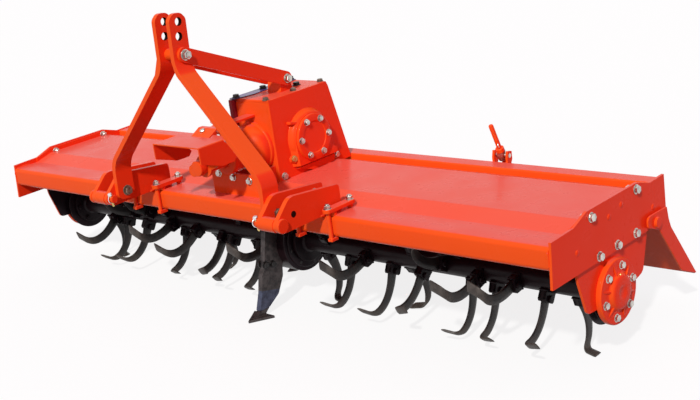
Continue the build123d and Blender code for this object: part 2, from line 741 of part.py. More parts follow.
def board_pivot():
    """Pivot bolt of the arm, running in the side plate."""
    low = INNER - 4
    high = HALF_WIDTH + JOINT_GAP + BOARD_END
    pin = disc_x(low, high - low, PIVOT_R - RUN_GAP, PIVOT_Y, PIVOT_Z)
    return pin + disc_x(high, 8, PIVOT_R + 6, PIVOT_Y, PIVOT_Z)


def board_point(along, out):
    """(y, z) at a distance down the board's outer face and out from it."""
    run = Vector(BOARD_LOW_Y - BOARD_TOP_Y, BOARD_LOW_Z - BOARD_TOP_Z).normalized()
    place = Vector(BOARD_TOP_Y, BOARD_TOP_Z) + run * along + Vector(-run.Y, run.X) * out
    return place.X, place.Y


def rod_lug():
    """Pair of ears on the board, with the pin that the rod's eye turns on."""
    outline = [
        board_point(LUG_ALONG - 24, 0),
        board_point(LUG_ALONG - 12, LUG_OUT + 6),
        board_point(LUG_ALONG + 12, LUG_OUT + 12),
        board_point(LUG_ALONG + 24, 0),
    ]
    pin_y, pin_z = board_point(LUG_ALONG, LUG_OUT)
    ears = yz_plate(outline, ROD_X - 16, 6) + yz_plate(outline, ROD_X + 10, 6)
    return ears + disc_x(ROD_X - 16, 32, 7, pin_y, pin_z)


# ---------------------------------------------------------------- rods
def rod_axis():
    """The rod's eye, its direction and the way from the eye to the swivel."""
    pin_y, pin_z = board_point(LUG_ALONG, LUG_OUT)
    eye = Vector(ROD_X, pin_y, pin_z)
    run = Vector(ROD_X, SWIVEL_Y, SWIVEL_Z) - eye
    return eye, run.normalized(), run.length


def rod():
    lug, up, reach = rod_axis()
    bar = pin_between(lug + up * 14, lug + up * (reach + ROD_TOP), ROD_R)
    eye = disc_x(ROD_X - 7, 14, 18, lug.Y, lug.Z) - disc_x(ROD_X - 9, 18, 11, lug.Y, lug.Z)
    collar_low = lug + up * (reach + 14.3)
    collar = pin_between(collar_low, collar_low + up * 14, ROD_R + 6)
    return bar + eye + collar


def rod_swivel():
    up = rod_axis()[1]
    middle = Vector(ROD_X, SWIVEL_Y, SWIVEL_Z)
    sleeve = pin_between(middle - up * 14, middle + up * 14, ROD_R + 7)
    pin = disc_x(ROD_X - 30, 60, 7 - RUN_GAP, SWIVEL_Y, SWIVEL_Z)
    bore = pin_between(middle - up * 20, middle + up * 20, ROD_R + RUN_GAP)
    return sleeve + pin - bore


def rod_bracket():
    """Pair of ears on the rear beam that the swivel turns in."""
    ears = []
    for x in (ROD_X - 30, ROD_X + 22):
        ear = yz_plate(
            [
                (REAR_EDGE, REAR_TOP - 40),
                (REAR_EDGE, REAR_TOP + 12),
                (SWIVEL_Y - 8, SWIVEL_Z + 16),
                (SWIVEL_Y + 12, SWIVEL_Z + 12),
                (SWIVEL_Y + 12, SWIVEL_Z - 14),
            ],
            x,
            8,
        )
        ears.append(ear - disc_x(x - 1, 10, 7, SWIVEL_Y, SWIVEL_Z))
    return ears[0] + ears[1]


def input_shaft():
    """Stub with a lobed flange in front of the housing, and its journal."""
    plane = Plane((0, INPUT_END, INPUT_Z), z_dir=(0, 1, 0))
    stub = extrude(plane * Circle(INPUT_R), amount=YOKE_Y - INPUT_END)
    lobes = Plane((0, YOKE_Y, INPUT_Z), x_dir=(1, 0, 0.35), z_dir=(0, 1, 0))
    outline = SlotCenterToCenter(2 * YOKE_REACH, 2 * YOKE_LOBE_R) + Circle(JOURNAL_R + 10)
    flange = extrude(lobes * outline, amount=YOKE)
    journal_plane = Plane((0, YOKE_Y + YOKE, INPUT_Z), z_dir=(0, 1, 0))
    return stub + flange + extrude(journal_plane * Circle(JOURNAL_R), amount=BOX_FRONT - YOKE_Y - YOKE - 10)


# ---------------------------------------------------------------- assembly
def build():
    pair = {
        "side_plate": side_plate(),
        "hood": hood(),
        "bearing_plate": bearing_plate(),
        "bearing_housing": bearing_housing(),
        "gearbox_cover": gearbox_cover(),
        "hitch_bracket": hitch_bracket(),
        "hitch_pin": hitch_pin(),
        "mast_strap": mast_strap(),
        "stay": stay(),
        "clamp_near": beam_clamp(CLAMP_NEAR),
        "clamp_far": beam_clamp(CLAMP_FAR),
        "rod_bracket": rod_bracket(),
        "board_end": board_end() + board_pivot(),
        "rod_lug": rod_lug(),
        "rod": rod(),
        "rod_swivel": rod_swivel(),
        "end_shaft": end_shaft(),
    }
    nodes = {
        "front_beam": front_beam(),
        "rear_beam": rear_beam(),
        "gearbox": gearbox(),
        "gearbox_side_plate": gearbox_side_plate(),
        "gearbox_lid": gearbox_lid(),
        "gearbox_foot": gearbox_foot(),
        "input_housing": input_housing(),
        "lower_case": lower_case(),
        "input_guard": input_guard(),
        "guard_arm": guard_arm(),
        "mast_spacer": mast_spacer(),
        "stay_lug": stay_lug(),
        "share_shank": share_shank(),
        "share_point": share_point(),
        "reel_left": reel(-1),
        "reel_right": reel(1),
        "centre_shaft": centre_shaft(),
        "rear_board": rear_board(),
        "input_shaft": input_shaft(),
    }
    for name, shape in pair.items():
        nodes[name + "_right"] = shape
        nodes[name + "_left"] = mirror_x(shape)
    return nodes


def export(nodes):
    """Move the origin under the machine's middle, on the ground, and write the nodes."""
    whole = Compound(children=[one(shape) for shape in nodes.values()]).bounding_box()
    base = Vector(0, (whole.min.Y + whole.max.Y) / 2, whole.min.Z)
    for name, shape in nodes.items():
        export_step(one(shape).moved(Location(-base)), f"parts/{name}.step")
    print("origin in the working frame", [round(v, 3) for v in base])


export(build())
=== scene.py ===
import bpy
import bmesh
import math
import random
from math import cos, pi, radians, sin, sqrt
from mathutils import Matrix, Vector


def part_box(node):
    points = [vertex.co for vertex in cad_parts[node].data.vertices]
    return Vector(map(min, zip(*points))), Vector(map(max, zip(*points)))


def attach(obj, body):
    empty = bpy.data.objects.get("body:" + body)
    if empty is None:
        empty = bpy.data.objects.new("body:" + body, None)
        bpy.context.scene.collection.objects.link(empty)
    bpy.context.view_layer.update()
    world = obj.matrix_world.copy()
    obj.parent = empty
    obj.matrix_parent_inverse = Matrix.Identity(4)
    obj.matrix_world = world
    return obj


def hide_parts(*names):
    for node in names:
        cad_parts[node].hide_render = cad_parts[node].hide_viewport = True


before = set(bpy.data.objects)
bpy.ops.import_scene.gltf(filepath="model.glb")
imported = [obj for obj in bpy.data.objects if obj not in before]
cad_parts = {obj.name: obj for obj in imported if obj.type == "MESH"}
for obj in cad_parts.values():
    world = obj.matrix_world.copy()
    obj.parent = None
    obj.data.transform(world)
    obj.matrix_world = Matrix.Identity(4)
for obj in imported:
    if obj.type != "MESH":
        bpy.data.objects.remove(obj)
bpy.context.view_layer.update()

# the machine's own frame: x = 0 middle, y = 0 front of the beam, z = 0 lower edge of the side plates
ORIGIN = Vector((0.0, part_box("front_beam")[0].y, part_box("side_plate_right")[0].z))
SIDES = ((1, "right"), (-1, "left"))
X = Vector((1, 0, 0))

# places and sizes that several pieces share, in millimetres in that frame
AXIS = AXIS_Y, AXIS_Z = 292.0, -112.0  # the rotor's axis
INNER, OUTER = 1237.0, 1245.0  # faces of the side plates
BEAM_DEPTH, BEAM_LOW, BEAM_TOP = 80.0, 47.0, 115.0
BOX_SIDE = 92.0  # right side of the gearbox, and the inner edge of each half of the hood
BOX_FRONT = 170.0  # its front
COVER = COVER_Y, SHAFT_Z = 326.0, 247.0  # middle of its round covers, at the input shaft's height
PIN = PIN_Y, PIN_Z = -178.0, 139.0  # lower link pins
LINK_HOLES = ((-93, 717), (-100, 673))  # the top link's holes in the mast, as (y, z)
MAST_BOLT = (-98, 616)  # through both mast bars
STAY_BOLT = (307, 447)  # through both stays, over the gearbox
CLAMP_X, CLAMP_Y, CLAMP_TOP = (336, 472), (-8, 90), 139  # bolts of the beam clamps
BOARD_TOP = Vector((594, -23))  # upper edge of the rear board, as (y, z)
BOARD_RUN = Vector((136, -194)).normalized()  # down the board
BOARD_OUT = Vector((-BOARD_RUN.y, BOARD_RUN.x))  # away from the rotor
BOARD_HINGE = (515, 16)
ROD_X = 680  # adjusting rods
SWIVEL = Vector((592, 150))  # their swivels, as (y, z)
LUG_DOWN, LUG_OUT = 53, 51  # their lower eyes, down the board and out from it


def new_object(name, data):
    obj = bpy.data.objects.new(name, data)
    bpy.context.collection.objects.link(obj)
    return obj


def at(x, y, z):
    """Row-frame place of a point given in millimetres in the machine's own frame."""
    return ORIGIN + Vector((x, y, z)) / 1000


def off_axis(p, y, z):
    """Distance of a point from the sideways line through (y, z)."""
    return Vector((p.y - y, p.z - z)).length


def circle(count, radius, first, y, z):
    """Evenly spaced places on a circle that faces sideways, as (number, y, z)."""
    for k in range(count):
        a = radians(360 / count * k + first)
        yield k, y + radius * cos(a), z + radius * sin(a)


# -------- materials
class Nodes:
    """Short way to write a node material."""

    def __init__(self, name):
        self.mat = bpy.data.materials.new(name)
        self.mat.use_nodes = True
        self.tree = self.mat.node_tree
        self.bsdf = self.tree.nodes["Principled BSDF"]
        where = self.tree.nodes.new("ShaderNodeTexCoord")
        self.coords, self.normals = where.outputs["Object"], where.outputs["Normal"]

    def add(self, kind, **sockets):
        node = self.tree.nodes.new(kind)
        for key, value in sockets.items():
            self.plug(node, key.replace("_", " "), value)
        return node

    def plug(self, node, key, value):
        """Links a socket, or writes a plain value; a colour of three numbers becomes opaque."""
        if isinstance(value, bpy.types.NodeSocket):
            self.tree.links.new(value, node.inputs[key])
        elif isinstance(value, tuple) and len(value) == 3:
            node.inputs[key].default_value = (*value, 1)
        else:
            node.inputs[key].default_value = value

    def noise(self, scale, detail=3.0, rough=0.55):
        n = self.add(
            "ShaderNodeTexNoise", Vector=self.coords, Scale=scale, Detail=detail, Roughness=rough
        )
        return n.outputs["Fac"]

    def band(self, value, low, high, to_low=0.0, to_high=1.0):
        """Smooth step of a value from low to high."""
        n = self.add(
            "ShaderNodeMapRange",
            Value=value, From_Min=low, From_Max=high, To_Min=to_low, To_Max=to_high,
        )
        n.interpolation_type = "SMOOTHSTEP"
        return n.outputs[0]

    def math(self, op, *values):
        n = self.tree.nodes.new("ShaderNodeMath")
        n.operation = op
        for k, value in enumerate(values):
            self.plug(n, k, value)
        return n.outputs[0]

    def mix(self, fac, a, b):
        n = self.tree.nodes.new("ShaderNodeMix")
        n.data_type = "RGBA"
        # places of the factor and of the two colours among the node's sockets
        for key, value in ((0, fac), (6, a), (7, b)):
            self.plug(n, key, value)
        return n.outputs[2]

    def bump(self, height, strength, distance):
        n = self.add("ShaderNodeBump", Height=height, Strength=strength, Distance=distance)
        self.put(Normal=n.outputs[0])

    def put(self, **sockets):
        for key, value in sockets.items():
            self.plug(self.bsdf, key.replace("_", " "), value)

    def parts(self, vector):
        """The three numbers of a vector."""
        n = self.tree.nodes.new("ShaderNodeSeparateXYZ")
        self.tree.links.new(vector, n.inputs[0])
        return n.outputs


def enamel(name, front, side, level, rough=0.3, coat=0.06, peel=0.05, shine=0.05):
    """Sprayed enamel whose colour follows the way each face turns: the front colour paints sunlight on
    faces that look ahead or up, the side colour paints shade, and the paler level colour paints a sheen
    on level faces, with dusty patches and fine pale specks.
    """
    n = Nodes(name)
    _, facing_y, facing_z = n.parts(n.normals)
    # painted light: faces that look ahead or rise take the sunlit front colour, the others the shaded
    # side colour
    ahead = n.band(facing_y, -0.80, -0.15, 1.0, 0.0)
    rising = n.band(n.band(facing_z, 0.45, 1.0), 0.0, 0.5)
    flat = n.band(facing_z, 0.90, 1.0)
    # random patches tinted towards the side colour
    cloud = n.band(n.noise(2.2, 4), 0.35, 0.7, 0.0, 0.16)
    # dusty patches in the painted sheen of level faces
    dust_and_sheen = n.band(n.noise(1.3, 3), 0.3, 0.7, 0.8, 1.0)
    colour = n.mix(n.math("MAXIMUM", ahead, rising), side, front)
    colour = n.mix(n.math("MULTIPLY", flat, dust_and_sheen), colour, level)
    colour = n.mix(cloud, colour, side)
    # fine pale specks of the level colour on level faces
    specks = n.band(n.noise(38, 6, rough=0.7), 0.55, 0.8, 0.0, 0.10)
    n.put(Base_Color=n.mix(n.math("MULTIPLY", flat, specks), colour, level))
    n.put(Roughness=n.band(n.noise(9, 4), 0.3, 0.75, rough - 0.05, rough + 0.08))
    n.put(Coat_Weight=coat, Coat_Roughness=0.05, Specular_IOR_Level=shine)
    n.bump(n.noise(330, 2), peel, 0.002)
    return n.mat


def steel(name, base, dark, rough=0.32, grain=140.0, metal=1.0):
    """Bare or plated steel, mottled between two colours."""
    n = Nodes(name)
    n.put(Base_Color=n.mix(n.band(n.noise(60, 5), 0.35, 0.7), base, dark), Metallic=metal)
    n.put(Roughness=n.band(n.noise(grain, 3), 0.3, 0.7, rough - 0.08, rough + 0.14))
    n.bump(n.noise(grain * 3, 3), 0.06, 0.001)
    return n.mat


def worn_tine():
    """Black forged steel, worn to brown-grey bare metal towards the tips."""
    n = Nodes("tine_steel_worn")
    _, y, z = n.parts(n.coords)
    reach = n.math("SQRT", n.math("ADD", n.math("MULTIPLY", y, y), n.math("MULTIPLY", z, z)))
    rough_edge = n.math("ADD", reach, n.band(n.noise(30, 4), 0.2, 0.8, -0.012, 0.012))
    worn = n.band(rough_edge, 0.155, 0.208, 0.0, 0.8)
    blotch = n.band(n.noise(45, 6, rough=0.7), 0.35, 0.68)
    black = n.mix(blotch, (0.006, 0.005, 0.006), (0.020, 0.013, 0.011))
    bare = n.mix(blotch, (0.085, 0.072, 0.062), (0.035, 0.028, 0.025))
    n.put(Base_Color=n.mix(worn, black, bare), Metallic=0.15, Specular_IOR_Level=0.4)
    n.put(Roughness=n.band(worn, 0, 1, 0.42, 0.5))
    n.bump(n.noise(160, 5, rough=0.7), 0.3, 0.002)
    return n.mat


# near-black red that paints the shade inside holes
def painted_hole_shade():
    n = Nodes("painted_hole_shade")
    n.put(Base_Color=n.mix(n.noise(50), (0.010, 0.003, 0.003), (0.035, 0.008, 0.006)))
    n.put(Roughness=0.9, Specular_IOR_Level=0.0)
    return n.mat


# each enamel: the front colour paints sunlight on faces that look ahead, the side colour paints shade,
# the level colour paints a sheen on level faces
ORANGE = enamel("orange_enamel", (0.84, 0.088, 0.010), (0.86, 0.036, 0.008), (0.80, 0.107, 0.079))
CAST = enamel(
    "orange_enamel_on_casting",
    (0.84, 0.082, 0.010), (0.86, 0.036, 0.008), (0.80, 0.095, 0.052), peel=0.3,
)
# crimson that paints orange enamel in shade, for the side cover's front edge
SHADE_CRIMSON = enamel("crimson_painted_shade_enamel", (0.28, 0.010, 0.016), (0.24, 0.006, 0.016), (0.30, 0.03, 0.09))
BLACK = enamel(
    "black_enamel",
    (0.014, 0.006, 0.008), (0.011, 0.005, 0.008), (0.028, 0.016, 0.022),
    rough=0.4, coat=0.02, shine=0.12,
)
# dark enamel whose violet tint paints a reflection of the sky
DARK_SKY_SHEEN = enamel(
    "dark_enamel_painted_sky_sheen",
    (0.05, 0.012, 0.06), (0.035, 0.010, 0.045), (0.085, 0.045, 0.22), shine=0.3,
)
TINE = worn_tine()
SHARE = steel(
    "share_steel_dark", (0.060, 0.048, 0.047), (0.020, 0.016, 0.017), rough=0.45, grain=60, metal=0.3
)
BLADE = steel(
    "share_steel_worn_blue",
    (0.065, 0.075, 0.125), (0.028, 0.031, 0.058), rough=0.4, grain=50, metal=0.5,
)
ZINC = steel("zinc_plated", (0.66, 0.63, 0.58), (0.40, 0.38, 0.36), rough=0.27)
DULL = steel("weathered_bolt", (0.26, 0.20, 0.15), (0.12, 0.09, 0.07), rough=0.42, metal=0.85)
BRIGHT = steel("bright_steel", (0.80, 0.80, 0.80), (0.60, 0.60, 0.62), rough=0.18)
YELLOW = steel("yellow_zinc", (0.72, 0.55, 0.22), (0.50, 0.36, 0.14), rough=0.3)
DARKBOLT = steel("black_bolt", (0.020, 0.018, 0.018), (0.010, 0.009, 0.009), rough=0.4, metal=0.4)
HOLE_SHADE = painted_hole_shade()


# -------- mesh helpers
def frame_for(axis):
    """Two directions square to an axis, and the axis."""
    axis = axis.normalized()
    side = axis.orthogonal().normalized() if abs(axis.x) < 0.9 else Vector((0, 1, 0))
    side = (side - axis * side.dot(axis)).normalized()
    return side, axis.cross(side), axis


class Mesh:
    """Collects geometry in millimetres in the machine's own frame."""

    # a hexagon's outline, as shares of its height and radius
    HEX_PROFILE = ((0, 0), (0, 0.93), (0.1, 1), (0.84, 1), (1, 0.88), (1, 0))
    # a bolt's washer, its radius, head, nut and width across flats, as shares of its size
    WASHER, WASHER_R, HEAD, NUT, ACROSS = 0.17, 1.02, 0.62, 0.8, 1.5
    PITCH = 2.0  # of a thread
    SAME = 0.02  # CAD corners closer than this are one
    FLAT = 1.0  # CAD faces that turn by less than these degrees are one
    LEAST = 8.0  # degrees that an edge turns by at least where round_edges picks it

    def __init__(self, name, *materials):
        self.name = name
        self.materials = list(materials)
        self.bm = bmesh.new()

    def mat(self, material):
        """A material's number here; none named means the first."""
        if not material:
            return 0
        if material not in self.materials:
            self.materials.append(material)
        return self.materials.index(material)

    def face(self, verts, index=0):
        """A face, unless the same corners have one already."""
        try:
            self.bm.faces.new(verts).material_index = index
        except ValueError:
            pass

    def grid(self, rows, closed=False, material=None):
        """Surface through rings of points, with its ends filled or joined to each other."""
        index = self.mat(material)
        rings = [[self.bm.verts.new(p) for p in row] for row in rows]
        pairs = list(zip(rings, rings[1:]))
        if closed:
            pairs.append((rings[-1], rings[0]))
        for a, b in pairs:
            for k in range(len(a)):
                m = (k + 1) % len(a)
                self.face([a[k], a[m], b[m], b[k]], index)
        if not closed:
            self.face(rings[0][::-1], index)
            self.face(rings[-1], index)

    def lathe(self, profile, centre, axis, seg=40, start=0.0, clamp=None, material=None):
        """Turned form from (along the axis, radius) pairs; ends at radius 0 close it.

        clamp moves a point to where it has to stay."""
        u, v, w = frame_for(Vector(axis))
        centre = Vector(centre)
        index = self.mat(material)
        rings = []
        for along, radius in profile:
            base = centre + w * along
            ring = []
            for k in range(seg if radius else 1):
                a = start + 2 * pi * k / seg
                p = base + (u * cos(a) + v * sin(a)) * radius
                ring.append(self.bm.verts.new(clamp(p) if clamp else p))
            rings.append(ring)
        for a, b in zip(rings, rings[1:]):
            if len(a) == len(b) == 1:
                continue
            for k in range(seg):
                m = (k + 1) % seg
                corners = (a[k % len(a)], a[m % len(a)], b[m % len(b)], b[k % len(b)])
                self.face(list(dict.fromkeys(corners)), index)

    def solid(self, low, high):
        """Solid between two rings of points."""
        a, b = ([self.bm.verts.new(p) for p in ring] for ring in (low, high))
        for k in range(len(a)):
            m = (k + 1) % len(a)
            self.face([a[k], a[m], b[m], b[k]])
        self.face(a[::-1])
        self.face(b)

    def prism(self, outline, low, high, axis="x"):
        """Closed outline swept between two places along an axis; the outline is in the other two."""

        def place(p, q, s):
            return {"x": (s, p, q), "y": (p, s, q), "z": (p, q, s)}[axis]

        self.solid(*([place(p, q, end) for p, q in outline] for end in (low, high)))

    def sweep(self, path, radius, seg=10, ripple=0.0, closed=False, material=None):
        """Round bar along points."""
        path = [Vector(p) for p in path]
        rows = []
        side = None
        count = len(path)
        for k, p in enumerate(path):
            if closed:
                run = path[(k + 1) % count] - path[k - 1]
            else:
                run = path[min(k + 1, count - 1)] - path[max(k - 1, 0)]
            run.normalize()
            if side is None:
                side = frame_for(run)[0]
            side = (side - run * side.dot(run)).normalized()
            up = run.cross(side)
            r = radius * (1 + ripple * (k % 2))
            turns = [2 * pi * j / seg for j in range(seg)]
            rows.append([p + (side * cos(a) + up * sin(a)) * r for a in turns])
        self.grid(rows, closed, material)

    def weld(self, a, b, radius=3.0, pitch=5.0):
        """Weld bead with its ripples between two points."""
        a, b = Vector(a), Vector(b)
        n = max(4, int((b - a).length / pitch))
        rng = random.Random(int(a.x * 7 + a.y * 13 + a.z * 3))
        wobble = [Vector([rng.uniform(-0.5, 0.5) for _ in range(3)]) for _ in range(n + 1)]
        path = [a.lerp(b, k / n) + shake for k, shake in enumerate(wobble)]
        self.sweep(path, radius, seg=7, ripple=0.22)

    def hexagon(self, centre, axis, across, height, turned=0.2, material=None):
        """Hexagonal head or nut with chamfered corners."""
        r = across / sqrt(3)
        prof = [(height * along, r * out) for along, out in self.HEX_PROFILE]
        self.lathe(prof, centre, axis, 6, turned, material=material)

    def bolt(self, place, axis, size, washer=True, stub=0.0, turned=0.2, material=None):
        """Hex head with its washer, standing on a face; with a stub it is a nut on a thread."""
        axis = Vector(axis).normalized()
        place = Vector(place)
        if washer:
            t, w = self.WASHER * size, self.WASHER_R * size
            prof = [(-1, 0), (-1, w), (t - 0.6, w), (t, w - 0.6), (t, 0)]
            self.lathe(prof, place, axis, seg=24, material=material)
            place = place + axis * t
        height = size * (self.NUT if stub else self.HEAD)
        self.hexagon(place, axis, self.ACROSS * size, height, turned, material)
        if stub:
            self.thread(place + axis * height, axis, size / 2, stub)

    def thread(self, place, axis, radius, length):
        """Threaded end of a bolt."""
        prof = []
        n = max(2, int(length / self.PITCH))
        for k in range(n):
            prof += [(k * length / n, radius * 0.88), ((k + 0.5) * length / n, radius)]
        prof += [(length, radius * 0.82), (length, 0)]
        self.lathe(prof, place, axis, seg=16)

    def cad(self, node):
        """A copy of a CAD node's mesh to build on, in the machine's own frame."""
        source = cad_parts[node]
        other = bmesh.new()
        other.from_mesh(source.data)
        other.transform(source.matrix_world)
        other.transform(Matrix.Translation(-ORIGIN))
        other.transform(Matrix.Scale(1000, 4))
        bmesh.ops.remove_doubles(other, verts=other.verts, dist=self.SAME)
        limit = radians(self.FLAT)
        bmesh.ops.dissolve_limit(other, angle_limit=limit, verts=other.verts, edges=other.edges)
        copy = {v: self.bm.verts.new(v.co) for v in other.verts}
        for f in other.faces:
            self.face([copy[v] for v in f.verts])
        other.free()

    def mark(self, choose, index=1):
        """Gives the faces that choose picks another of the materials."""
        for f in self.bm.faces:
            if choose(f):
                f.material_index = index

    def round_edges(self, choose, offset, segments):
        """Rounds the sharp edges that choose(middle, direction) picks."""
        self.bm.normal_update()
        picked = []
        for e in self.bm.edges:
            if len(e.link_faces) != 2 or e.calc_face_angle(0) < radians(self.LEAST):
                continue
            a, b = e.verts[0].co, e.verts[1].co
            if choose((a + b) / 2, (b - a).normalized()):
                picked.append(e)
        if picked:
            bmesh.ops.bevel(
                self.bm, geom=picked, offset=offset, segments=segments, profile=0.5,
                affect="EDGES", clamp_overlap=True,
            )

    def done(
        self, node=None, body="frame", slot=None, bevel=0.0, segments=2, angle=32.0, origin=(0, 0, 0)
    ):
        """Turns the collected geometry into an object that rides on a body and replaces a node.

        The slot argument is not used."""
        bm = self.bm
        bmesh.ops.remove_doubles(bm, verts=bm.verts, dist=0.001)
        bmesh.ops.recalc_face_normals(bm, faces=bm.faces)
        origin = Vector(origin)
        bm.transform(Matrix.Translation(-origin))
        bm.transform(Matrix.Scale(0.001, 4))
        mesh = bpy.data.meshes.new(self.name)
        for f in bm.faces:
            f.smooth = True
        bm.to_mesh(mesh)
        bm.free()
        mesh.set_sharp_from_angle(angle=radians(angle))
        for m in self.materials:
            mesh.materials.append(m)
        obj = new_object(self.name, mesh)
        obj.location = at(*origin)
        bpy.context.view_layer.update()
        if bevel:
            mod = obj.modifiers.new("bevel", "BEVEL")
            mod.width = bevel / 1000
            mod.segments = segments
            mod.limit_method = "ANGLE"
            mod.angle_limit = radians(angle)
            obj.modifiers.new("normals", "WEIGHTED_NORMAL")
        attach(obj, body)
        if node:
            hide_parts(node)


def dressed(name, node, material, *rounds, **finish):
    """A CAD node's own form in its paint, with eased edges and any rounds for its corners."""
    m = Mesh(name, material)
    m.cad(node)
    for choose, offset, segments in rounds:
        m.round_edges(choose, offset, segments)
    m.done(node, **finish)


def fillet(points, radius, seg):
    """Polyline with rounded inner corners."""
    out = [Vector(points[0])]
    for a, b, c in zip(points, points[1:], points[2:]):
        a, b, c = Vector(a), Vector(b), Vector(c)
        d1, d2 = (a - b).normalized(), (c - b).normalized()
        half = d1.angle(d2) / 2
        if half > radians(88):
            out.append(b)
            continue
        cut = min(radius / math.tan(half), 0.45 * (a - b).length, 0.45 * (c - b).length)
        r = cut * math.tan(half)
        middle = b + (d1 + d2).normalized() * (r / sin(half))
        p, q = b + d1 * cut - middle, b + d2 * cut - middle
        turn = p.angle_signed(q)
        for k in range(seg + 1):
            m = Matrix.Rotation(-turn * k / seg, 2)
            out.append(middle + m @ p)
    out.append(Vector(points[-1]))
    return out


def sheet(points, thick, radius):
    """Closed outline of a bent sheet whose outer face runs along the points."""
    path = fillet(points, radius, 5)
    inner = []
    n = len(path)
    for k, p in enumerate(path):
        run = (path[min(k + 1, n - 1)] - path[max(k - 1, 0)]).normalized()
        inner.append(p + Vector((run.y, -run.x)) * thick)
    return [tuple(p) for p in path] + [tuple(p) for p in inner[::-1]]


# -------- frame: beam, hood, side plates
BEAM_CORNER = 14.0
HOOD_PATH = [(80, 114), (102, 114), (175, 134), (445, 134), (515, 112)]
# the hood's edge, turned up against a side plate
HOOD_FLANGE = [
    (104, 113.5), (175, 133), (445, 133), (515, 111.5), (515, 129), (446, 151), (176, 151), (106, 131),
]
# the hood's front edge, lapped on the beam
HOOD_LAP = [(66, 114.6), (70, 115), (81, 114.2), (81, 104), (70, 108)]
REAR_ANGLE = [(515, 102), (519, 132), (578, 132), (578, 70)]
SHEET = 4.0


def beam():
    m = Mesh("beam_tube", ORANGE)
    r = BEAM_CORNER
    front, back, low, high = r, BEAM_DEPTH - r, BEAM_LOW + r, BEAM_TOP - r
    outline = []
    for cy, cz, first in ((back, high, 0), (front, high, 90), (front, low, 180), (back, low, 270)):
        for k in range(9):
            a = radians(first + 90 * k / 8)
            outline.append((cy + r * cos(a), cz + r * sin(a)))
    m.prism(outline, -INNER, INNER)
    seams = (
        ((0, low), (0, high)),
        ((front, BEAM_TOP), (back, BEAM_TOP)),
        ((front, BEAM_LOW), (back, BEAM_LOW)),
    )
    for s, _ in SIDES:
        for a, b in seams:
            m.weld((s * (INNER - 2), *a), (s * (INNER - 2), *b))
    m.done("front_beam")


def hood():
    for s, side in SIDES:
        m = Mesh("hood_sheet_" + side, ORANGE)
        m.prism(sheet(HOOD_PATH, SHEET, 14), s * BOX_SIDE, s * INNER)
        m.prism(HOOD_FLANGE, s * (INNER - SHEET), s * INNER)
        edge = s * (BOX_SIDE + 2)
        m.weld((edge, 108, 116.5), (edge, 174, 134.5), 2)
        m.prism(HOOD_LAP, s * 4, s * INNER)
        m.done("hood_" + side, bevel=0.8)
    m = Mesh("rear_angle", ORANGE)
    m.prism(sheet(REAR_ANGLE, SHEET, 7), -INNER, INNER)
    m.done("rear_beam", bevel=0.8)


HOOD_BOLTS = ((198, 134), (434, 139))
BEARING_BOLTS = ((224, 14), (317, 15), (417, 16))
PLATE_STUDS = ((286, 106), (352, 120), (120, 60), (520, 60))
HUB_FACE = 1254  # outer face of a bearing housing's flange


def side_plates():
    for s, side in SIDES:
        out = (s, 0, 0)
        corners = (lambda p, d: abs(d.x) > 0.99 and p.y < 560, 9, 4)
        dressed("side_plate_shell_" + side, "side_plate_" + side, ORANGE, corners, bevel=1.4)

        # the left bearing plate is black inside, which paints the deep shade under the hood there, with
        # a red outer face and rim
        paint = ORANGE if s > 0 else BLACK
        m = Mesh("bearing_plate_shell_" + side, paint, ORANGE)
        m.cad("bearing_plate_" + side)
        corner = lambda p, d: abs(d.x) > 0.99 and p.z < -12 and off_axis(p, *AXIS) > 60
        m.round_edges(corner, 12, 4)
        m.mark(lambda f: abs(f.normal.x) < 0.5 or f.normal.x < -0.5 and s < 0)
        m.done("bearing_plate_" + side, bevel=1.2)

        b = Mesh("side_bolts_" + side, ZINC)
        for y, z in HOOD_BOLTS + BEARING_BOLTS:
            b.bolt((s * OUTER, y, z), out, 14, turned=y * 0.1)
        for places, sunk in ((HOOD_BOLTS, 4), (BEARING_BOLTS, 8)):
            for y, z in places:
                b.bolt((s * (INNER - sunk), y, z), (-s, 0, 0), 13, stub=6, turned=y * 0.3)
        for k, y, z in circle(6, 74, 12, *AXIS):
            b.bolt((s * HUB_FACE, y, z), out, 12, turned=k * 0.7)
        b.done()

        d = Mesh("plate_studs_" + side, ORANGE)
        for y, z in PLATE_STUDS:
            dome = [(-1, 0), (-1, 9), (1.2, 8.4), (2.4, 5), (2.8, 0)]
            d.lathe(dome, (s * OUTER, y, z), out, seg=20)
        d.done()


# a bearing housing turned about the rotor's axis, from the side plate's inner face outwards
CUP_PROFILE = [
    (-12, 24), (-12, 88), (-10, 91), (-8, 91), (-8, 44), (0, 44), (0, 93), (2, 95), (14, 95),
    (17.4, 92.5), (18, 88), (18, 60), (19, 55.5), (22, 52.5), (26, 50), (29.5, 45), (31, 38),
    (31.6, 25), (31.2, 18), (28.5, 14), (28.5, 0),
]


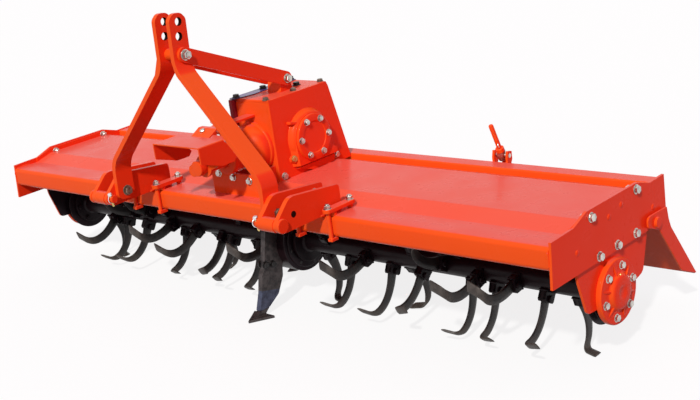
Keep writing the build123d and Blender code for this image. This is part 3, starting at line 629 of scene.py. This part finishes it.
def end_bearings():
    for s, side in SIDES:
        m = Mesh("bearing_cup_" + side, CAST, BLACK)
        m.lathe(CUP_PROFILE, (s * INNER, *AXIS), (s, 0, 0), seg=64)
        m.mark(lambda f: abs(f.calc_center_median().x) < INNER + 0.1)
        # ribs between the bolts
        c = Vector((s * (INNER + 18), *AXIS))
        for _, p, q in circle(6, 1, 42, 0, 0):
            u, v = Vector((0, p, q)), Vector((0, -q, p))
            corners = [(r, w, h) for r, h in ((52, 0), (52, 6), (84, 0.5)) for w in (-3, 3)]
            vs = [m.bm.verts.new(c + u * r + v * w + X * s * h) for r, w, h in corners]
            for q in ((0, 2, 4), (1, 5, 3), (2, 3, 5, 4), (0, 1, 3, 2)):
                m.face([vs[i] for i in q])
        m.done("bearing_housing_" + side, bevel=0.7, angle=40)

        g = Mesh("grease_nipple_" + side, YELLOW)
        lean = (s * 0.75, 0, 0.65)
        g.hexagon((s * (INNER + 20), AXIS_Y, AXIS_Z + 46), lean, 8, 4)
        head = [(0, 3), (3, 3), (4, 2), (5.5, 2.6), (7, 1.5), (7, 0)]
        g.lathe(head, (s * (INNER + 22), AXIS_Y, AXIS_Z + 48), lean, seg=12)
        g.done()


# -------- gearbox
LID_TOP = (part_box("gearbox_lid")[1] - ORIGIN).z * 1000
LEFT_IN = 13.0  # the casting's left side stands this much further in than the solid's
BOSS_FACE, BOSS_BASE = 81.0, 93.0  # radii of the drafted boss on the right
COVER_X = 114  # seats of the round covers, at either side
COVER_PROFILE = [
    (0, 0), (0, 78), (7.5, 78), (9.2, 77), (10, 75), (10, 55), (9.5, 53), (7.2, 51.4), (7, 50),
    (7, 20), (7.4, 0),
]
BOSS_FILLET = [
    (-1, 96), (1.5, 94), (5, 92.6), (11, 90.5), (16, 87), (19.5, 83), (21.6, 79), (22.2, 74),
]
COVER_FLANGE = [
    (-88, 168), (-82, 161), (-58, 163), (-48, 190), (-40, 240), (-44, 330), (-50, 445), (-82, 450),
    (-88, 440),
]
COVER_COLUMN = [(-92, 166), (-88, 160), (-70, 158.5), (-63, 163), (-63, 172), (-92, 172)]


def gearbox_casting():
    m = Mesh("gearbox_casting", CAST)
    m.cad("gearbox")
    top = max(v.co.z for v in m.bm.verts)
    for v in m.bm.verts:
        p = v.co
        if p.z > top - 1:
            p.z = LID_TOP - 0.4
        y, z = p.y - COVER_Y, p.z - SHAFT_Z
        r = sqrt(y * y + z * z)
        # the boss and its foot get draft
        if p.x > COVER_X - 1 and p.z < 170:
            p.y = COVER_Y + y * 0.84
        elif p.x > COVER_X - 1 and r > BOSS_FACE:
            p.y, p.z = COVER_Y + y * BOSS_FACE / r, SHAFT_Z + z * BOSS_FACE / r
        elif p.x > BOX_SIDE - 1 and 96 < r < 99 and p.z > 170:
            p.y, p.z = COVER_Y + y * BOSS_BASE / r, SHAFT_Z + z * BOSS_BASE / r
        if p.x < -85:
            p.x += LEFT_IN
    m.done("gearbox", bevel=6, segments=4, angle=50)

    m = Mesh("gearbox_boss_fillets", CAST)
    floor = lambda p: Vector((p.x, p.y, max(p.z, 165)))
    boss = (BOX_SIDE, *COVER)
    m.lathe(BOSS_FILLET, boss, (1, 0, 0), seg=72, clamp=floor)
    # cast lugs round the boss, a rib beside it and the web under it
    for y, z, r in ((354, 322, 8), (238, 191, 11)):
        lug = [(-1, r + 3), (3, r + 0.5), (12, r), (15, r - 2.5), (16, 0)]
        m.lathe(lug, (BOX_SIDE, y, z), (1, 0, 0), seg=20)
    m.prism([(238, 319), (288, 306), (288, 298), (236, 310)], 91, 109)
    m.prism([(244, 158), (430, 158), (418, 134), (318, 134)], BOX_SIDE, 103)
    m.done(bevel=1.5, angle=40)


def gearbox_covers():
    dressed("gearbox_top", "gearbox_lid", CAST)

    # the left side cover: dark enamel with a painted violet sky reflection, its front faces in crimson
    # that paints their shade
    m = Mesh("gearbox_side_cover", DARK_SKY_SHEEN, SHADE_CRIMSON)
    m.cad("gearbox_side_plate")
    for v in m.bm.verts:
        v.co.x += LEFT_IN
    m.bm.normal_update()
    m.mark(lambda f: f.normal.y < -0.5)
    m.done("gearbox_side_plate", bevel=1.8)
    # the cover's flange turned over the lid's left edge, and its rounded front edge; the flange's
    # violet paints a sky reflection and the edge's crimson paints shade
    m = Mesh("side_cover_flange", DARK_SKY_SHEEN, SHADE_CRIMSON)
    m.prism(COVER_FLANGE, LID_TOP - 0.5, LID_TOP + 2.5, axis="z")
    m.done(bevel=1.8, segments=3)
    m = Mesh("side_cover_front", SHADE_CRIMSON)
    m.prism(COVER_COLUMN, 176, LID_TOP - 3, axis="z")
    m.done(bevel=2.5, segments=3)

    for s, side in SIDES:
        # the left round cover takes the same dark enamel with its painted violet sky reflection
        paint = CAST if s > 0 else DARK_SKY_SHEEN
        m = Mesh("bearing_cover_" + side, paint)
        seat = COVER_X if s > 0 else LEFT_IN - COVER_X
        m.lathe(COVER_PROFILE, (seat, *COVER), (s, 0, 0), seg=64)
        m.done("gearbox_cover_" + side, angle=40)


FOOT_BOLTS = ((-73, 183), (-5, 175), (71, 169))
COVER_PLATE_BOLTS = (
    (176, 384), (176, 300), (176, 215), (176, 152), (255, 392), (350, 392), (440, 386), (466, 300),
    (490, 215), (505, 150),
)


def gearbox_bolts():
    b = Mesh("gearbox_bolts", ZINC)
    for k, y, z in circle(6, 64, -2, *COVER):
        b.bolt((COVER_X + 10, y, z), (1, 0, 0), 11, turned=k * 0.5)
    b.bolt((BOX_SIDE, 192, 147), (1, 0, 0), 12.5, turned=0.4)
    b.bolt((BOX_SIDE, 444, 151), (1, 0, 0), 12.5, turned=0.1)
    for x, z in FOOT_BOLTS:
        b.bolt((x, 58, z), (0, -1, 0), 12, turned=x * 0.1)
    a = radians(118)
    b.bolt((75 * cos(a), 140, SHAFT_Z + 75 * sin(a)), (0, -1, 0), 11, turned=0.4)
    b.done()

    b = Mesh("input_carrier_bolts", CAST)
    for deg in (46, -26, -98, -170):
        x, z = 71 * cos(radians(deg)), SHAFT_Z + 71 * sin(radians(deg))
        b.bolt((x, 142, z), (0, -1, 0), 9, washer=False, turned=deg)
    b.done()

    # bright plug low on the gearbox's right side
    b = Mesh("gearbox_plug", YELLOW)
    b.hexagon((104, 236, 194), (1, 0, 0), 20, 6, turned=0.3)
    b.lathe([(-2, 12), (0.6, 12), (1, 10), (1, 0)], (103.6, 236, 194), (1, 0, 0), seg=20)
    b.done()

    d = Mesh("gearbox_lid_bolts", DULL)
    for y in (181, 308, 438):
        d.bolt((71, y, LID_TOP), (0, 0, 1), 11, turned=y * 0.01)
    d.done()
    # the left row of lid bolts is black, which paints the shade it stands in
    d = Mesh("gearbox_flange_bolts", DARKBOLT)
    for y in (181, 305, 438):
        d.bolt((-70, y, LID_TOP + 2.5), (0, 0, 1), 13, turned=y * 0.02)
    # filler plug on the lid
    d.bolt((20, 376, LID_TOP), (0, 0, 1), 14, turned=0.5)
    d.done()

    k = Mesh("side_cover_bolts", DARKBOLT)
    for y, z in COVER_PLATE_BOLTS:
        k.bolt((LEFT_IN - 104, y, z), (-1, 0, 0), 10, turned=z * 0.1)
    for i, y, z in circle(6, 65, 20, *COVER):
        k.bolt((LEFT_IN - COVER_X - 10, y, z), (-1, 0, 0), 10, turned=i * 0.3)
    k.done()


# the input shaft's bell-shaped carrier, from the gearbox's front forwards
CARRIER_PROFILE = [
    (0, 0), (0, 86), (9, 86), (11.5, 84.5), (13, 82), (22, 81.5), (30, 80.5), (38, 77), (48, 69),
    (57, 61), (66, 56), (76, 54), (110, 53.9), (134, 53.9), (142, 53.2), (145, 51), (146, 47),
    (146, 30), (143, 27), (143, 26.2),
]
CASE_COVER = [(-1, 36), (-1, 96), (3, 96), (4.6, 94), (5, 90), (5, 60), (4, 40), (4, 36)]
# side walls of the guard, which reach further down and back than the folded sheet
GUARD_WALL = [
    (-157.5, 340), (-157.5, 289.5), (-75, 262), (-25, 262), (-12, 276), (-40, 320), (-57, 340),
]


def drive_front():
    m = Mesh("input_carrier", CAST)
    m.lathe(CARRIER_PROFILE, (0, BOX_FRONT, SHAFT_Z), (0, -1, 0), seg=64)
    m.done("input_housing", angle=40)

    m = Mesh("gearbox_foot_plate", ORANGE)
    m.cad("gearbox_foot")
    m.weld((-110, 60, 116), (110, 60, 116))
    m.done("gearbox_foot", bevel=1.6)

    # black here paints the deep shade under the hood on the drive case, its covers and bolts; the case
    # shows a dark red tint
    dressed("drive_case", "lower_case", BLACK, bevel=4, segments=3, angle=40)
    m = Mesh("drive_case_covers", BLACK)
    b = Mesh("drive_case_bolts", DARKBOLT)
    for s, _ in SIDES:
        m.lathe(CASE_COVER, (s * 45, *AXIS), (s, 0, 0), seg=48)
        for _, y, z in circle(8, 84, 10, *AXIS):
            head = [(0, 6.5), (1.2, 6.5), (1.4, 5), (1.4, 0)]
            b.lathe(head, (s * 49.5, y, z), (s, 0, 0), seg=6)
    m.done()
    b.done()


def guard():
    sides = lambda p, d: abs(d.y) > 0.99 and abs(p.x) > 100 and p.z > 330
    rear_fold = lambda p, d: abs(d.x) > 0.99 and p.z > 336 and p.y > -70 and abs(p.x) < 100
    dressed("guard_cover", "input_guard", ORANGE, (sides, 5, 4), (rear_fold, 3, 3), bevel=0.7)
    m = Mesh("guard_walls", ORANGE)
    for s, _ in SIDES:
        m.prism(GUARD_WALL, s * 107.2, s * 111.4)
    m.done(bevel=0.7)
    dressed("guard_bar", "guard_arm", ORANGE, bevel=1.2)
    b = Mesh("guard_bolts", ZINC)
    b.bolt((-9, -31, 352), (0, -0.42, 0.9), 11)
    b.bolt((0, -8, 350), (0, 0, -1), 11, stub=5)
    b.done()


def input_shaft():
    finish = dict(body="input_shaft", bevel=2.2, segments=3, angle=40)
    dressed("input_yoke", "input_shaft", ORANGE, **finish)
    m = Mesh("input_shaft_cap", CAST)
    cap = [(-30, 18.2), (-6, 24), (0, 25.5), (14, 25.5), (17.6, 24), (18.4, 20), (18.4, 0)]
    m.lathe(cap, (0, -74, SHAFT_Z), (0, -1, 0), seg=40)
    m.done(body="input_shaft", bevel=0.8, angle=50)


# -------- hitch
PIN_PROFILE = [
    (344, 0), (344, 11), (346, 14), (370, 14), (378, 14), (378, 22), (432, 22), (432, 14),
    (448, 14), (448, 21), (450, 22), (456, 22), (458, 20), (458, 0),
]
EAR_BOLT = (-121, 154)  # through the inner ear and the mast's foot


def hitch_bracket(s, side):
    m = Mesh("hitch_ears_" + side, ORANGE)
    m.cad("hitch_bracket_" + side)
    ends = lambda p, d: abs(d.x) > 0.99 and (p.y < -150 or p.z > 185) and off_axis(p, *PIN) > 17
    m.round_edges(ends, 9, 4)
    for x in (370, 440):
        for dx in (-9, 9):
            m.weld((s * (x + dx), -16, 116), (s * (x + dx), 76, 116))
    m.done("hitch_bracket_" + side, bevel=1.6)


def beam_clamp(name, x, side):
    m = Mesh("beam_%s_%s" % (name, side), ORANGE)
    m.cad("%s_%s" % (name, side))
    # the solid's plate gives way to a longer one with round ends
    plate = [f for f in m.bm.faces if min(v.co.z for v in f.verts) > BEAM_TOP - 1]
    bmesh.ops.delete(m.bm, geom=plate, context="FACES")
    front, back = CLAMP_Y
    slot = []
    for deg in range(0, 360, 15):
        a = radians(deg)
        slot.append((x + 16 * cos(a), (back if deg < 180 else front) + 16 * sin(a)))
    m.prism(slot, CLAMP_TOP - 12, CLAMP_TOP, axis="z")
    # rod in front of the beam, spacer on the beam and stud on the hood
    for y, z, r, length in ((front, 100, 6.9, 30), (14, BEAM_TOP, 12, 13), (back, 116, 9, 11)):
        m.lathe([(0, r), (length, r)], (x, y, z), (0, 0, 1), seg=24)
    m.done("%s_%s" % (name, side), bevel=2.2, segments=3)


def mast_bar(side):
    m = Mesh("mast_bar_" + side, ORANGE, HOLE_SHADE)
    m.cad("mast_strap_" + side)
    m.round_edges(lambda p, d: abs(d.y) > 0.9 and (220 < p.z < 280 or 545 < p.z < 595), 30, 6)
    top = lambda p, d: abs(d.x) > 0.95 and p.z > 700 and off_axis(p, *LINK_HOLES[0]) > 16
    m.round_edges(top, 8, 4)
    m.round_edges(lambda p, d: abs(d.x) > 0.95 and p.z < 140, 20, 4)
    # the bores of the top link holes take the hole material, which paints the shade inside them
    for hole in LINK_HOLES:
        m.mark(lambda f: abs(f.normal.x) < 0.2 and off_axis(f.calc_center_median(), *hole) < 14)
    m.done("mast_strap_" + side, bevel=1.4)


def stay_foot():
    m = Mesh("stay_foot", ORANGE)
    base = LID_TOP - 2
    y, z = STAY_BOLT
    lug = [(279, base), (284, 434), (291, 451), (y, 457), (323, 451), (330, 434), (335, base)]
    m.prism(lug, -20, 42)
    m.lathe([(-52, 0), (-52, 8), (52, 8), (52, 0)], (0, y, z), (1, 0, 0), seg=24)
    m.weld((-18, 278, base + 3), (40, 278, base + 3), 2.4)
    m.done("stay_lug", bevel=1.5)


def hitch_bolts():
    b = Mesh("hitch_bolts", ZINC)
    for s, _ in SIDES:
        b.bolt((s * 52, *MAST_BOLT), (s, 0, 0), 17, stub=3 if s > 0 else 0, turned=0.5)
        b.bolt((s * 52, *STAY_BOLT), (s, 0, 0), 15, stub=2 if s > 0 else 0, turned=0.2)
        for x in CLAMP_X:
            for y in CLAMP_Y:
                b.bolt((s * x, y, CLAMP_TOP), (0, 0, 1), 12, stub=4, turned=x * 0.1 + y)
    b.done()
    d = Mesh("mast_foot_bolts", DULL)
    for s, _ in SIDES:
        d.bolt((s * 346, *EAR_BOLT), (-s, 0, 0), 17, turned=0.3)
        d.bolt((s * 378, *EAR_BOLT), (s, 0, 0), 17, washer=False, turned=0.6)
        d.bolt((s * 378, 40, 168), (s, 0, 0), 12, material=ZINC, turned=0.6)
        # dark disc that paints the shade of an open hole in the outer ear
        d.lathe([(-1, 10), (0.3, 10), (0.3, 0)], (s * 448, -123, 158), (s, 0, 0), material=HOLE_SHADE, seg=24)
    d.done()


def link_pin(s, side):
    """Lower link pin, with a spring linch pin and its ring through the inner end."""
    m = Mesh("lower_link_pin_" + side, ORANGE)
    m.lathe(PIN_PROFILE, (0, *PIN), (s, 0, 0), seg=32)
    m.done("hitch_pin_" + side, bevel=0.5)
    m = Mesh("linch_pin_" + side, YELLOW, BRIGHT)
    x, y = s * 353, PIN_Y - 9
    lean = Vector((0, 0.15, -1))
    top = Vector((x, y, PIN_Z + 15))
    m.lathe([(0, 0), (0, 4), (2, 4.4), (36, 4.4), (40, 2.5), (41, 0)], top, lean, seg=14)
    head = [(-8, 0), (-8, 6), (-6, 8), (0, 8), (2, 6), (2, 0)]
    m.lathe(head, top, lean, material=BRIGHT, seg=16)
    ring = []
    for k in range(28):
        a = 2 * pi * k / 28
        ring.append((x + 3 * sin(a) * s, y + 12 * sin(a), PIN_Z + 3 + 13 * cos(a)))
    m.sweep(ring, 1.7, material=BRIGHT, seg=8, closed=True)
    m.done()


def hitch():
    for s, side in SIDES:
        hitch_bracket(s, side)
        mast_bar(side)
        dressed("stay_bar_" + side, "stay_" + side, ORANGE, bevel=1.3)
        for which, x in zip(("clamp_near", "clamp_far"), CLAMP_X):
            beam_clamp(which, s * x, side)
        link_pin(s, side)
    dressed("mast_bolt_tube", "mast_spacer", ORANGE, bevel=0.8)
    stay_foot()
    hitch_bolts()


# -------- share
WORN_HIGH, WORN_LOW, WORN_LEAN = -212, -296, 0.25  # worn band of the leg, which slopes to the rear


def share():
    m = Mesh("share_leg", SHARE, BLADE)
    m.cad("share_shank")
    corner = lambda p, d: abs(d.x) > 0.99 and -300 < p.z < 20 and off_axis(p, *AXIS) > 113
    m.round_edges(corner, 14, 4)
    height = Vector((0, WORN_LEAN, 1))
    for z in (WORN_HIGH, WORN_LOW):
        whole = list(m.bm.verts) + list(m.bm.edges) + list(m.bm.faces)
        bmesh.ops.bisect_plane(m.bm, geom=whole, dist=1e-5, plane_co=(0, 0, z), plane_no=height)
    m.mark(lambda f: WORN_LOW - 4 < f.calc_center_median().dot(height) < WORN_HIGH)
    m.done("share_shank", bevel=3.2, segments=3, angle=25)
    dressed("share_shoe", "share_point", SHARE, bevel=2.2)
    b = Mesh("share_bolts", DARKBOLT)
    for y, z in ((118, -150), (150, -158)):
        for s, _ in SIDES:
            b.bolt((s * 10, y, z), (s, 0, 0), 13, turned=y)
    b.done()


# -------- rotor
TINE_R, LEAD, TRAIL = 214.0, 40.0, 98.0  # reach of the tips, and where their two edges stand
SKEW, FOOT, THICK, BEND = 0.5, 50.0, 8.0, 19.0  # the foot's slant and length, the blade, its bend
LEAD_RISE, TRAIL_RISE = sqrt(TINE_R**2 - LEAD**2), sqrt(TINE_R**2 - TRAIL**2)
TILT = math.atan2(LEAD_RISE - TRAIL_RISE, TRAIL - LEAD)
RISE = LEAD_RISE * cos(TILT) + LEAD * sin(TILT)
FIRST_TINE, TINE_PITCH = 85, 45
LEAD_EDGE = [(-20, 30), (-20, 66), (-21, 105), (-13, 150), (8, 187), (LEAD, LEAD_RISE), (58, 224)]
TRAIL_EDGE = [(20, 30), (20, 64), (15, 100), (18, 138), (35, 173), (69, 199.5), (88, 213)]
# share of the width from the leading edge, and share of the thickness there
BLADE_SECTION = ((0.0, 0.16), (0.24, 0.86), (0.40, 1.0), (0.90, 1.0), (1.0, 0.62))
# steps of five degrees from the tine that stands on its tip's flat, and the side of each bend
TINES = {
    1: (
        (
            22, 0, 40, 28, -8, 16, -19, 30, -9, 3, 36, -13, 20, 46, 32, -7, -19, -8, 14, -20, 26,
            -10, 38, 0, 24,
        ),
        "++-+-+-+--++-+---++-++-+-",
    ),
    -1: (
        (
            -19, 6, -8, 0, 34, -10, -12, 18, 3, -16, 28, -8, -19, 40, 24, 44, -10, 46, 30, -8, -15,
            40, 0, 24, 34,
        ),
        "--++-++----+-++---+--++-+",
    ),
}
SOCKET_X, SOCKET_T = 13, 24  # half sizes of a tine's socket
# the tube with a flange at each end, as (distance from the middle, radius)
TUBE_R = 36
REEL_PROFILE = [
    (51, 0), (51, 73), (52.5, 75), (61.5, 75), (63, 73), (63, 44), (66, 40), (70, TUBE_R),
    *((120 + 95 * k, TUBE_R) for k in range(11)),
    (1190, TUBE_R), (1194, 40), (1197, 44), (1197, 73), (1198.5, 75), (1207.5, 75), (1209, 73),
    (1209, 0),
]
SHIELD_PROFILE = [
    (1209, 30), (1209, 99), (1210, 100), (1212, 100), (1213, 99), (1213, 34), (1216, 30),
    (1216, 24), (1245, 24), (1245, 0),
]


def smooth_path(points, per=8):
    """Catmull-Rom curve through points."""
    pts = [Vector(p) for p in points]
    pts = [2 * pts[0] - pts[1]] + pts + [2 * pts[-1] - pts[-2]]
    out = []
    for a, b, c, d in zip(pts, pts[1:], pts[2:], pts[3:]):
        for k in range(per):
            t = k / per
            square = (2 * a - 5 * b + 4 * c - d) * t * t
            out.append(0.5 * ((2 * b) + (c - a) * t + square + (3 * b - a - 3 * c + d) * t**3))
    out.append(pts[-2])
    return out


def cross_height(curve, height, shift):
    """Place where a side curve, shifted by the skew, reaches a height over the tip's flat."""
    c, s = cos(TILT), sin(TILT)
    last = None
    for p in curve:
        t, r = p[0] + shift, p[1]
        h = r * c + t * s
        if last and (last[2] - height) * (h - height) <= 0 and abs(h - last[2]) > 1e-9:
            k = (height - last[2]) / (h - last[2])
            return Vector((last[0] + (t - last[0]) * k, last[1] + (r - last[1]) * k))
        last = (t, r, h)
    p = curve[-1] if last[2] < height else curve[0]
    return Vector((p[0] + shift, p[1]))


def tine_stations():
    """(x, height) of the blade's middle from its foot to its tip, with the outward normal."""
    base, r = RISE - BEND, BEND - THICK / 2
    stations = [(0.0, 46 + (base - 46) * k / 12, Vector((1, 0))) for k in range(13)]
    for k in range(1, 9):
        a = pi / 2 * k / 8
        stations.append((r - r * cos(a), base + r * sin(a), Vector((cos(a), -sin(a)))))
    for k in range(1, 6):
        stations.append((r + (FOOT - r) * k / 5, RISE - THICK / 2, Vector((0, -1))))
    return stations


def tine_rows():
    """Rings round the blade from its foot to its tip: (x, t, r) points."""
    lead, trail = smooth_path(LEAD_EDGE), smooth_path(TRAIL_EDGE)
    up = Vector((sin(TILT), cos(TILT)))
    rows = []
    stations = tine_stations()
    for n, (x, h, out) in enumerate(stations):
        shift = SKEW * max(0.0, x)
        a = cross_height(lead, h, shift)
        b = cross_height(trail, h, shift)
        thin = 0.55 if n == len(stations) - 1 else 1.0
        front, back = [], []
        for v, w in BLADE_SECTION:
            p = a.lerp(b, v)
            off = THICK / 2 * w * thin
            # the height direction is up, the sideways one is x
            rise = up * (out.y * off)
            front.append((x + out.x * off, p.x + rise.x, p.y + rise.y))
            back.append((x - out.x * off, p.x - rise.x, p.y - rise.y))
        rows.append(front + back[::-1])
    return rows


def tine(m, rows, x0, hand, turn, n):
    """A blade in its socket, with the bolt through both."""
    ca, sa = cos(turn), sin(turn)

    def put(x, t, r):
        return Vector((x0 + x * hand, AXIS_Y + t * ca - r * sa, AXIS_Z + t * sa + r * ca))

    def block(outline, low, high):
        m.solid(*([put(x, t, r) for t, r in outline] for x in (low, high)))

    m.grid([[put(*p) for p in row] for row in rows], material=TINE)
    # two cheeks and two end walls round the blade
    cheek = [(-24, 30), (24, 30), (24, 60), (19, 66), (-19, 66), (-24, 60)]
    for lo, hi in ((-SOCKET_X, -4.2), (4.2, SOCKET_X)):
        block(cheek, lo, hi)
    for lo, hi in ((-SOCKET_T, -20.3), (20.3, SOCKET_T)):
        block(((lo, 30), (hi, 30), (hi, 62), (lo, 62)), -12.5, 12.5)
    axis = Vector((hand, 0, 0))
    m.hexagon(put(SOCKET_X, 0, 54), axis, 18, 7, turned=n)
    m.hexagon(put(-SOCKET_X, 0, 54), -axis, 18, 8, turned=n * 0.6)
    # weld round the socket's foot
    for t in (-SOCKET_T, SOCKET_T):
        m.weld(put(-SOCKET_X, t, 33), put(SOCKET_X, t, 33), 3, 6)


def reel(s, side):
    m = Mesh("tined_reel_" + side, BLACK, TINE)
    c = (0, *AXIS)
    m.lathe(REEL_PROFILE, c, (s, 0, 0), seg=36)
    rows = tine_rows()
    for n, (steps, bend) in enumerate(zip(*TINES[s])):
        turn = pi + TILT + radians(5 * steps)
        tine(m, rows, s * (FIRST_TINE + TINE_PITCH * n), 1 if bend == "+" else -1, turn, n)
    m.done("reel_" + side, body="rotor", slot="tine_steel", bevel=0.8, angle=38, origin=c)

    k = Mesh("end_shield_" + side, BLACK)
    k.lathe(SHIELD_PROFILE, c, (s, 0, 0), seg=56)
    for i, y, z in circle(6, 60, 0, *AXIS):
        k.hexagon((s * 1197, y, z), (-s, 0, 0), 16, 7, turned=i)
    k.done("end_shaft_" + side, body="rotor", bevel=0.5)


def middle_shaft():
    m = Mesh("case_shaft", BLACK)
    prof = [(-51, 0), (-51, 23), (-50, 24), (50, 24), (51, 23), (51, 0)]
    m.lathe(prof, (0, *AXIS), (1, 0, 0), seg=32)
    m.done("centre_shaft", body="rotor")


# -------- rear board and rods
def on_board(down, out):
    """(y, z) of a place down the rear board and out from it."""
    return tuple(BOARD_TOP + BOARD_RUN * down + BOARD_OUT * out)


def board():
    dressed("board_sheet", "rear_board", ORANGE, body="rear_board", bevel=0.6)
    ribs = Mesh("board_ribs", ORANGE)
    rib = [on_board(*p) for p in ((14, 0), (14, 5), (222, 5), (222, 0))]
    for x in (-1100, -380, 0, 380, 1100):
        ribs.prism(rib, x - 15, x + 15)
    lip = [on_board(*p) for p in ((212, 0), (214, 7), (222, 8.5), (230, 7), (232, 0))]
    ribs.prism(lip, -1240, 1240)
    ribs.done(body="rear_board", bevel=1.0)
    for s, side in SIDES:
        ends = (lambda p, d: abs(d.x) > 0.99 and (p.y < 490 or p.z < -150), 9, 4)
        finish = dict(body="rear_board", bevel=1.2)
        dressed("board_arm_" + side, "board_end_" + side, ORANGE, ends, **finish)
        dressed("rod_ears_" + side, "rod_lug_" + side, ORANGE, body="rear_board", bevel=1.0)
        b = Mesh("board_bolts_" + side, ZINC)
        b.hexagon((s * 1257, *BOARD_HINGE), (s, 0, 0), 22, 7.5)
        b.done(body="rear_board")


ROD_R, ROOT_R = 7.9, 6.9  # the rod, and the root of its thread
EYE_RING = [(-7, 11), (-7, 17), (-6, 18), (6, 18), (7, 17), (7, 11), (-7, 11)]
ROD_COLLAR = [(14.3, 0), (14.3, 13), (15.3, 14), (27.3, 14), (28.3, 13), (28.3, 0)]


def rods():
    for s, side in SIDES:
        x = s * ROD_X
        body = "swivel_" + side
        dressed("swivel_block_" + side, "rod_swivel_" + side, ZINC, body=body, bevel=0.8)
        dressed("rod_pair_" + side, "rod_bracket_" + side, ORANGE, bevel=1.2)
        m = Mesh("board_rod_" + side, ORANGE, ZINC)
        eye = Vector((x, *on_board(LUG_DOWN, LUG_OUT)))
        swivel = Vector((x, *SWIVEL))
        up = (swivel - eye).normalized()
        reach = (swivel - eye).length
        thread = [(60 + 1.25 * k, ROD_R if k % 2 else ROOT_R) for k in range(1, 44)]
        upper = [(60, ROD_R), (60, ROOT_R), *thread, (117, 6.4), (118, 0)]
        rod = [(14, ROD_R)] + [(reach + along, r) for along, r in upper]
        m.lathe(rod, eye, up, seg=18)
        m.lathe(EYE_RING, eye, (1, 0, 0), seg=32)
        m.lathe(ROD_COLLAR, eye + up * reach, up, seg=28)
        m.done("rod_" + side, body="rod_" + side)

        # cotter clip through the rod over the collar
        k = Mesh("rod_clip_" + side, BRIGHT)
        c = eye + up * (reach + 34)
        across = Vector((0.6 * s, -0.8, 0)).normalized()
        across = (across - up * across.dot(up)).normalized()
        k.sweep([c - across * 14, c + across * 6], 1.6, seg=8)
        loop = []
        for i in range(22):
            a = pi * 1.5 * i / 21
            loop.append(c + across * (6 + 9 * sin(a)) + up * (9 * (1 - cos(a)) * 0.9))
        k.sweep(loop, 1.6, seg=8)
        k.done(body="rod_" + side)


# -------- stage
FLOOR_HALF = 30.0
TO_SUN = Vector((0.34, -0.68, 0.65)).normalized()


def seen_rays(tree):
    """1 for what the camera and shiny or clear things see directly, 0 for soft bounced light."""
    path = tree.nodes.new("ShaderNodeLightPath")
    seen = path.outputs["Is Camera Ray"]
    for ray in ("Is Glossy Ray", "Is Transmission Ray"):
        top = tree.nodes.new("ShaderNodeMath")
        top.operation = "MAXIMUM"
        tree.links.new(seen, top.inputs[0])
        tree.links.new(path.outputs[ray], top.inputs[1])
        seen = top.outputs[0]
    return seen


def blend(tree, share, first, second, output):
    """Puts a mix of two shaders on the tree's output."""
    mix = tree.nodes.new("ShaderNodeMixShader")
    for k, socket in enumerate((share, first, second)):
        tree.links.new(socket, mix.inputs[k])
    tree.links.new(mix.outputs[0], tree.nodes[output].inputs["Surface"])


def floor_material():
    """White where it is seen, with the shadow on it, and a dim bounce on the machine."""
    n = Nodes("studio_floor")
    seen = seen_rays(n.tree)
    n.put(Base_Color=n.mix(seen, (0.30, 0.28, 0.28), (0.96, 0.96, 0.96)))
    n.put(Roughness=0.95, Specular_IOR_Level=0.0)
    white = n.add("ShaderNodeEmission", Color=(1, 1, 1, 1), Strength=1.0)
    glow = n.math("MULTIPLY", seen, 0.84)
    blend(n.tree, glow, n.bsdf.outputs[0], white.outputs[0], "Material Output")
    return n.mat


def stage_scene():
    h = FLOOR_HALF
    mesh = bpy.data.meshes.new("floor")
    mesh.from_pydata([(-h, -h, 0), (h, -h, 0), (h, h, 0), (-h, h, 0)], [], [(0, 1, 2, 3)])
    floor = new_object("floor", mesh)
    floor.location.z = -0.0005
    mesh.materials.append(floor_material())

    world = bpy.data.worlds.new("studio")
    bpy.context.scene.world = world
    world.use_nodes = True
    tree = world.node_tree
    soft = tree.nodes["Background"]
    soft.inputs["Color"].default_value = (1.0, 0.82, 0.95, 1)
    soft.inputs["Strength"].default_value = 0.42
    white = tree.nodes.new("ShaderNodeBackground")
    white.inputs["Color"].default_value = (1, 1, 1, 1)
    blend(tree, seen_rays(tree), soft.outputs[0], white.outputs[0], "World Output")

    light = bpy.data.lights.new("key", "SUN")
    light.energy = 2.9
    light.color = (1.0, 0.98, 0.94)
    light.angle = radians(3)
    key = new_object("key", light)
    key.rotation_euler = TO_SUN.to_track_quat("Z", "Y").to_euler()


# the photograph's camera: picture size, focal length and optical centre in pixels
WIDE, HIGH = 700, 400
FOCAL, CENTRE = 1218.8, (344.92, 200.62)
SENSOR = 36


def camera():
    cam = bpy.data.cameras.new("camera")
    cam.sensor_width = SENSOR
    cam.lens = FOCAL / WIDE * SENSOR
    cam.shift_x = (WIDE / 2 - CENTRE[0]) / WIDE
    cam.shift_y = (CENTRE[1] - HIGH / 2) / WIDE
    obj = new_object("camera", cam)
    right = Vector((0.731763, 0.667854, -0.135994))
    down = Vector((0.098763, -0.301334, -0.94839))
    look = Vector((-0.674366, 0.680565, -0.286464))
    turn = Matrix((right, -down, -look)).transposed().to_4x4()
    obj.matrix_world = Matrix.Translation(at(2940.8, -2421.0, 1189.3)) @ turn
    cam.clip_start, cam.clip_end = 0.05, 100
    bpy.context.scene.camera = obj


beam()
hood()
side_plates()
end_bearings()
gearbox_casting()
gearbox_covers()
gearbox_bolts()
drive_front()
guard()
input_shaft()
hitch()
share()
for sign, name in SIDES:
    reel(sign, name)
middle_shaft()
board()
rods()
stage_scene()
camera()
bpy.context.scene.view_settings.view_transform = "Standard"
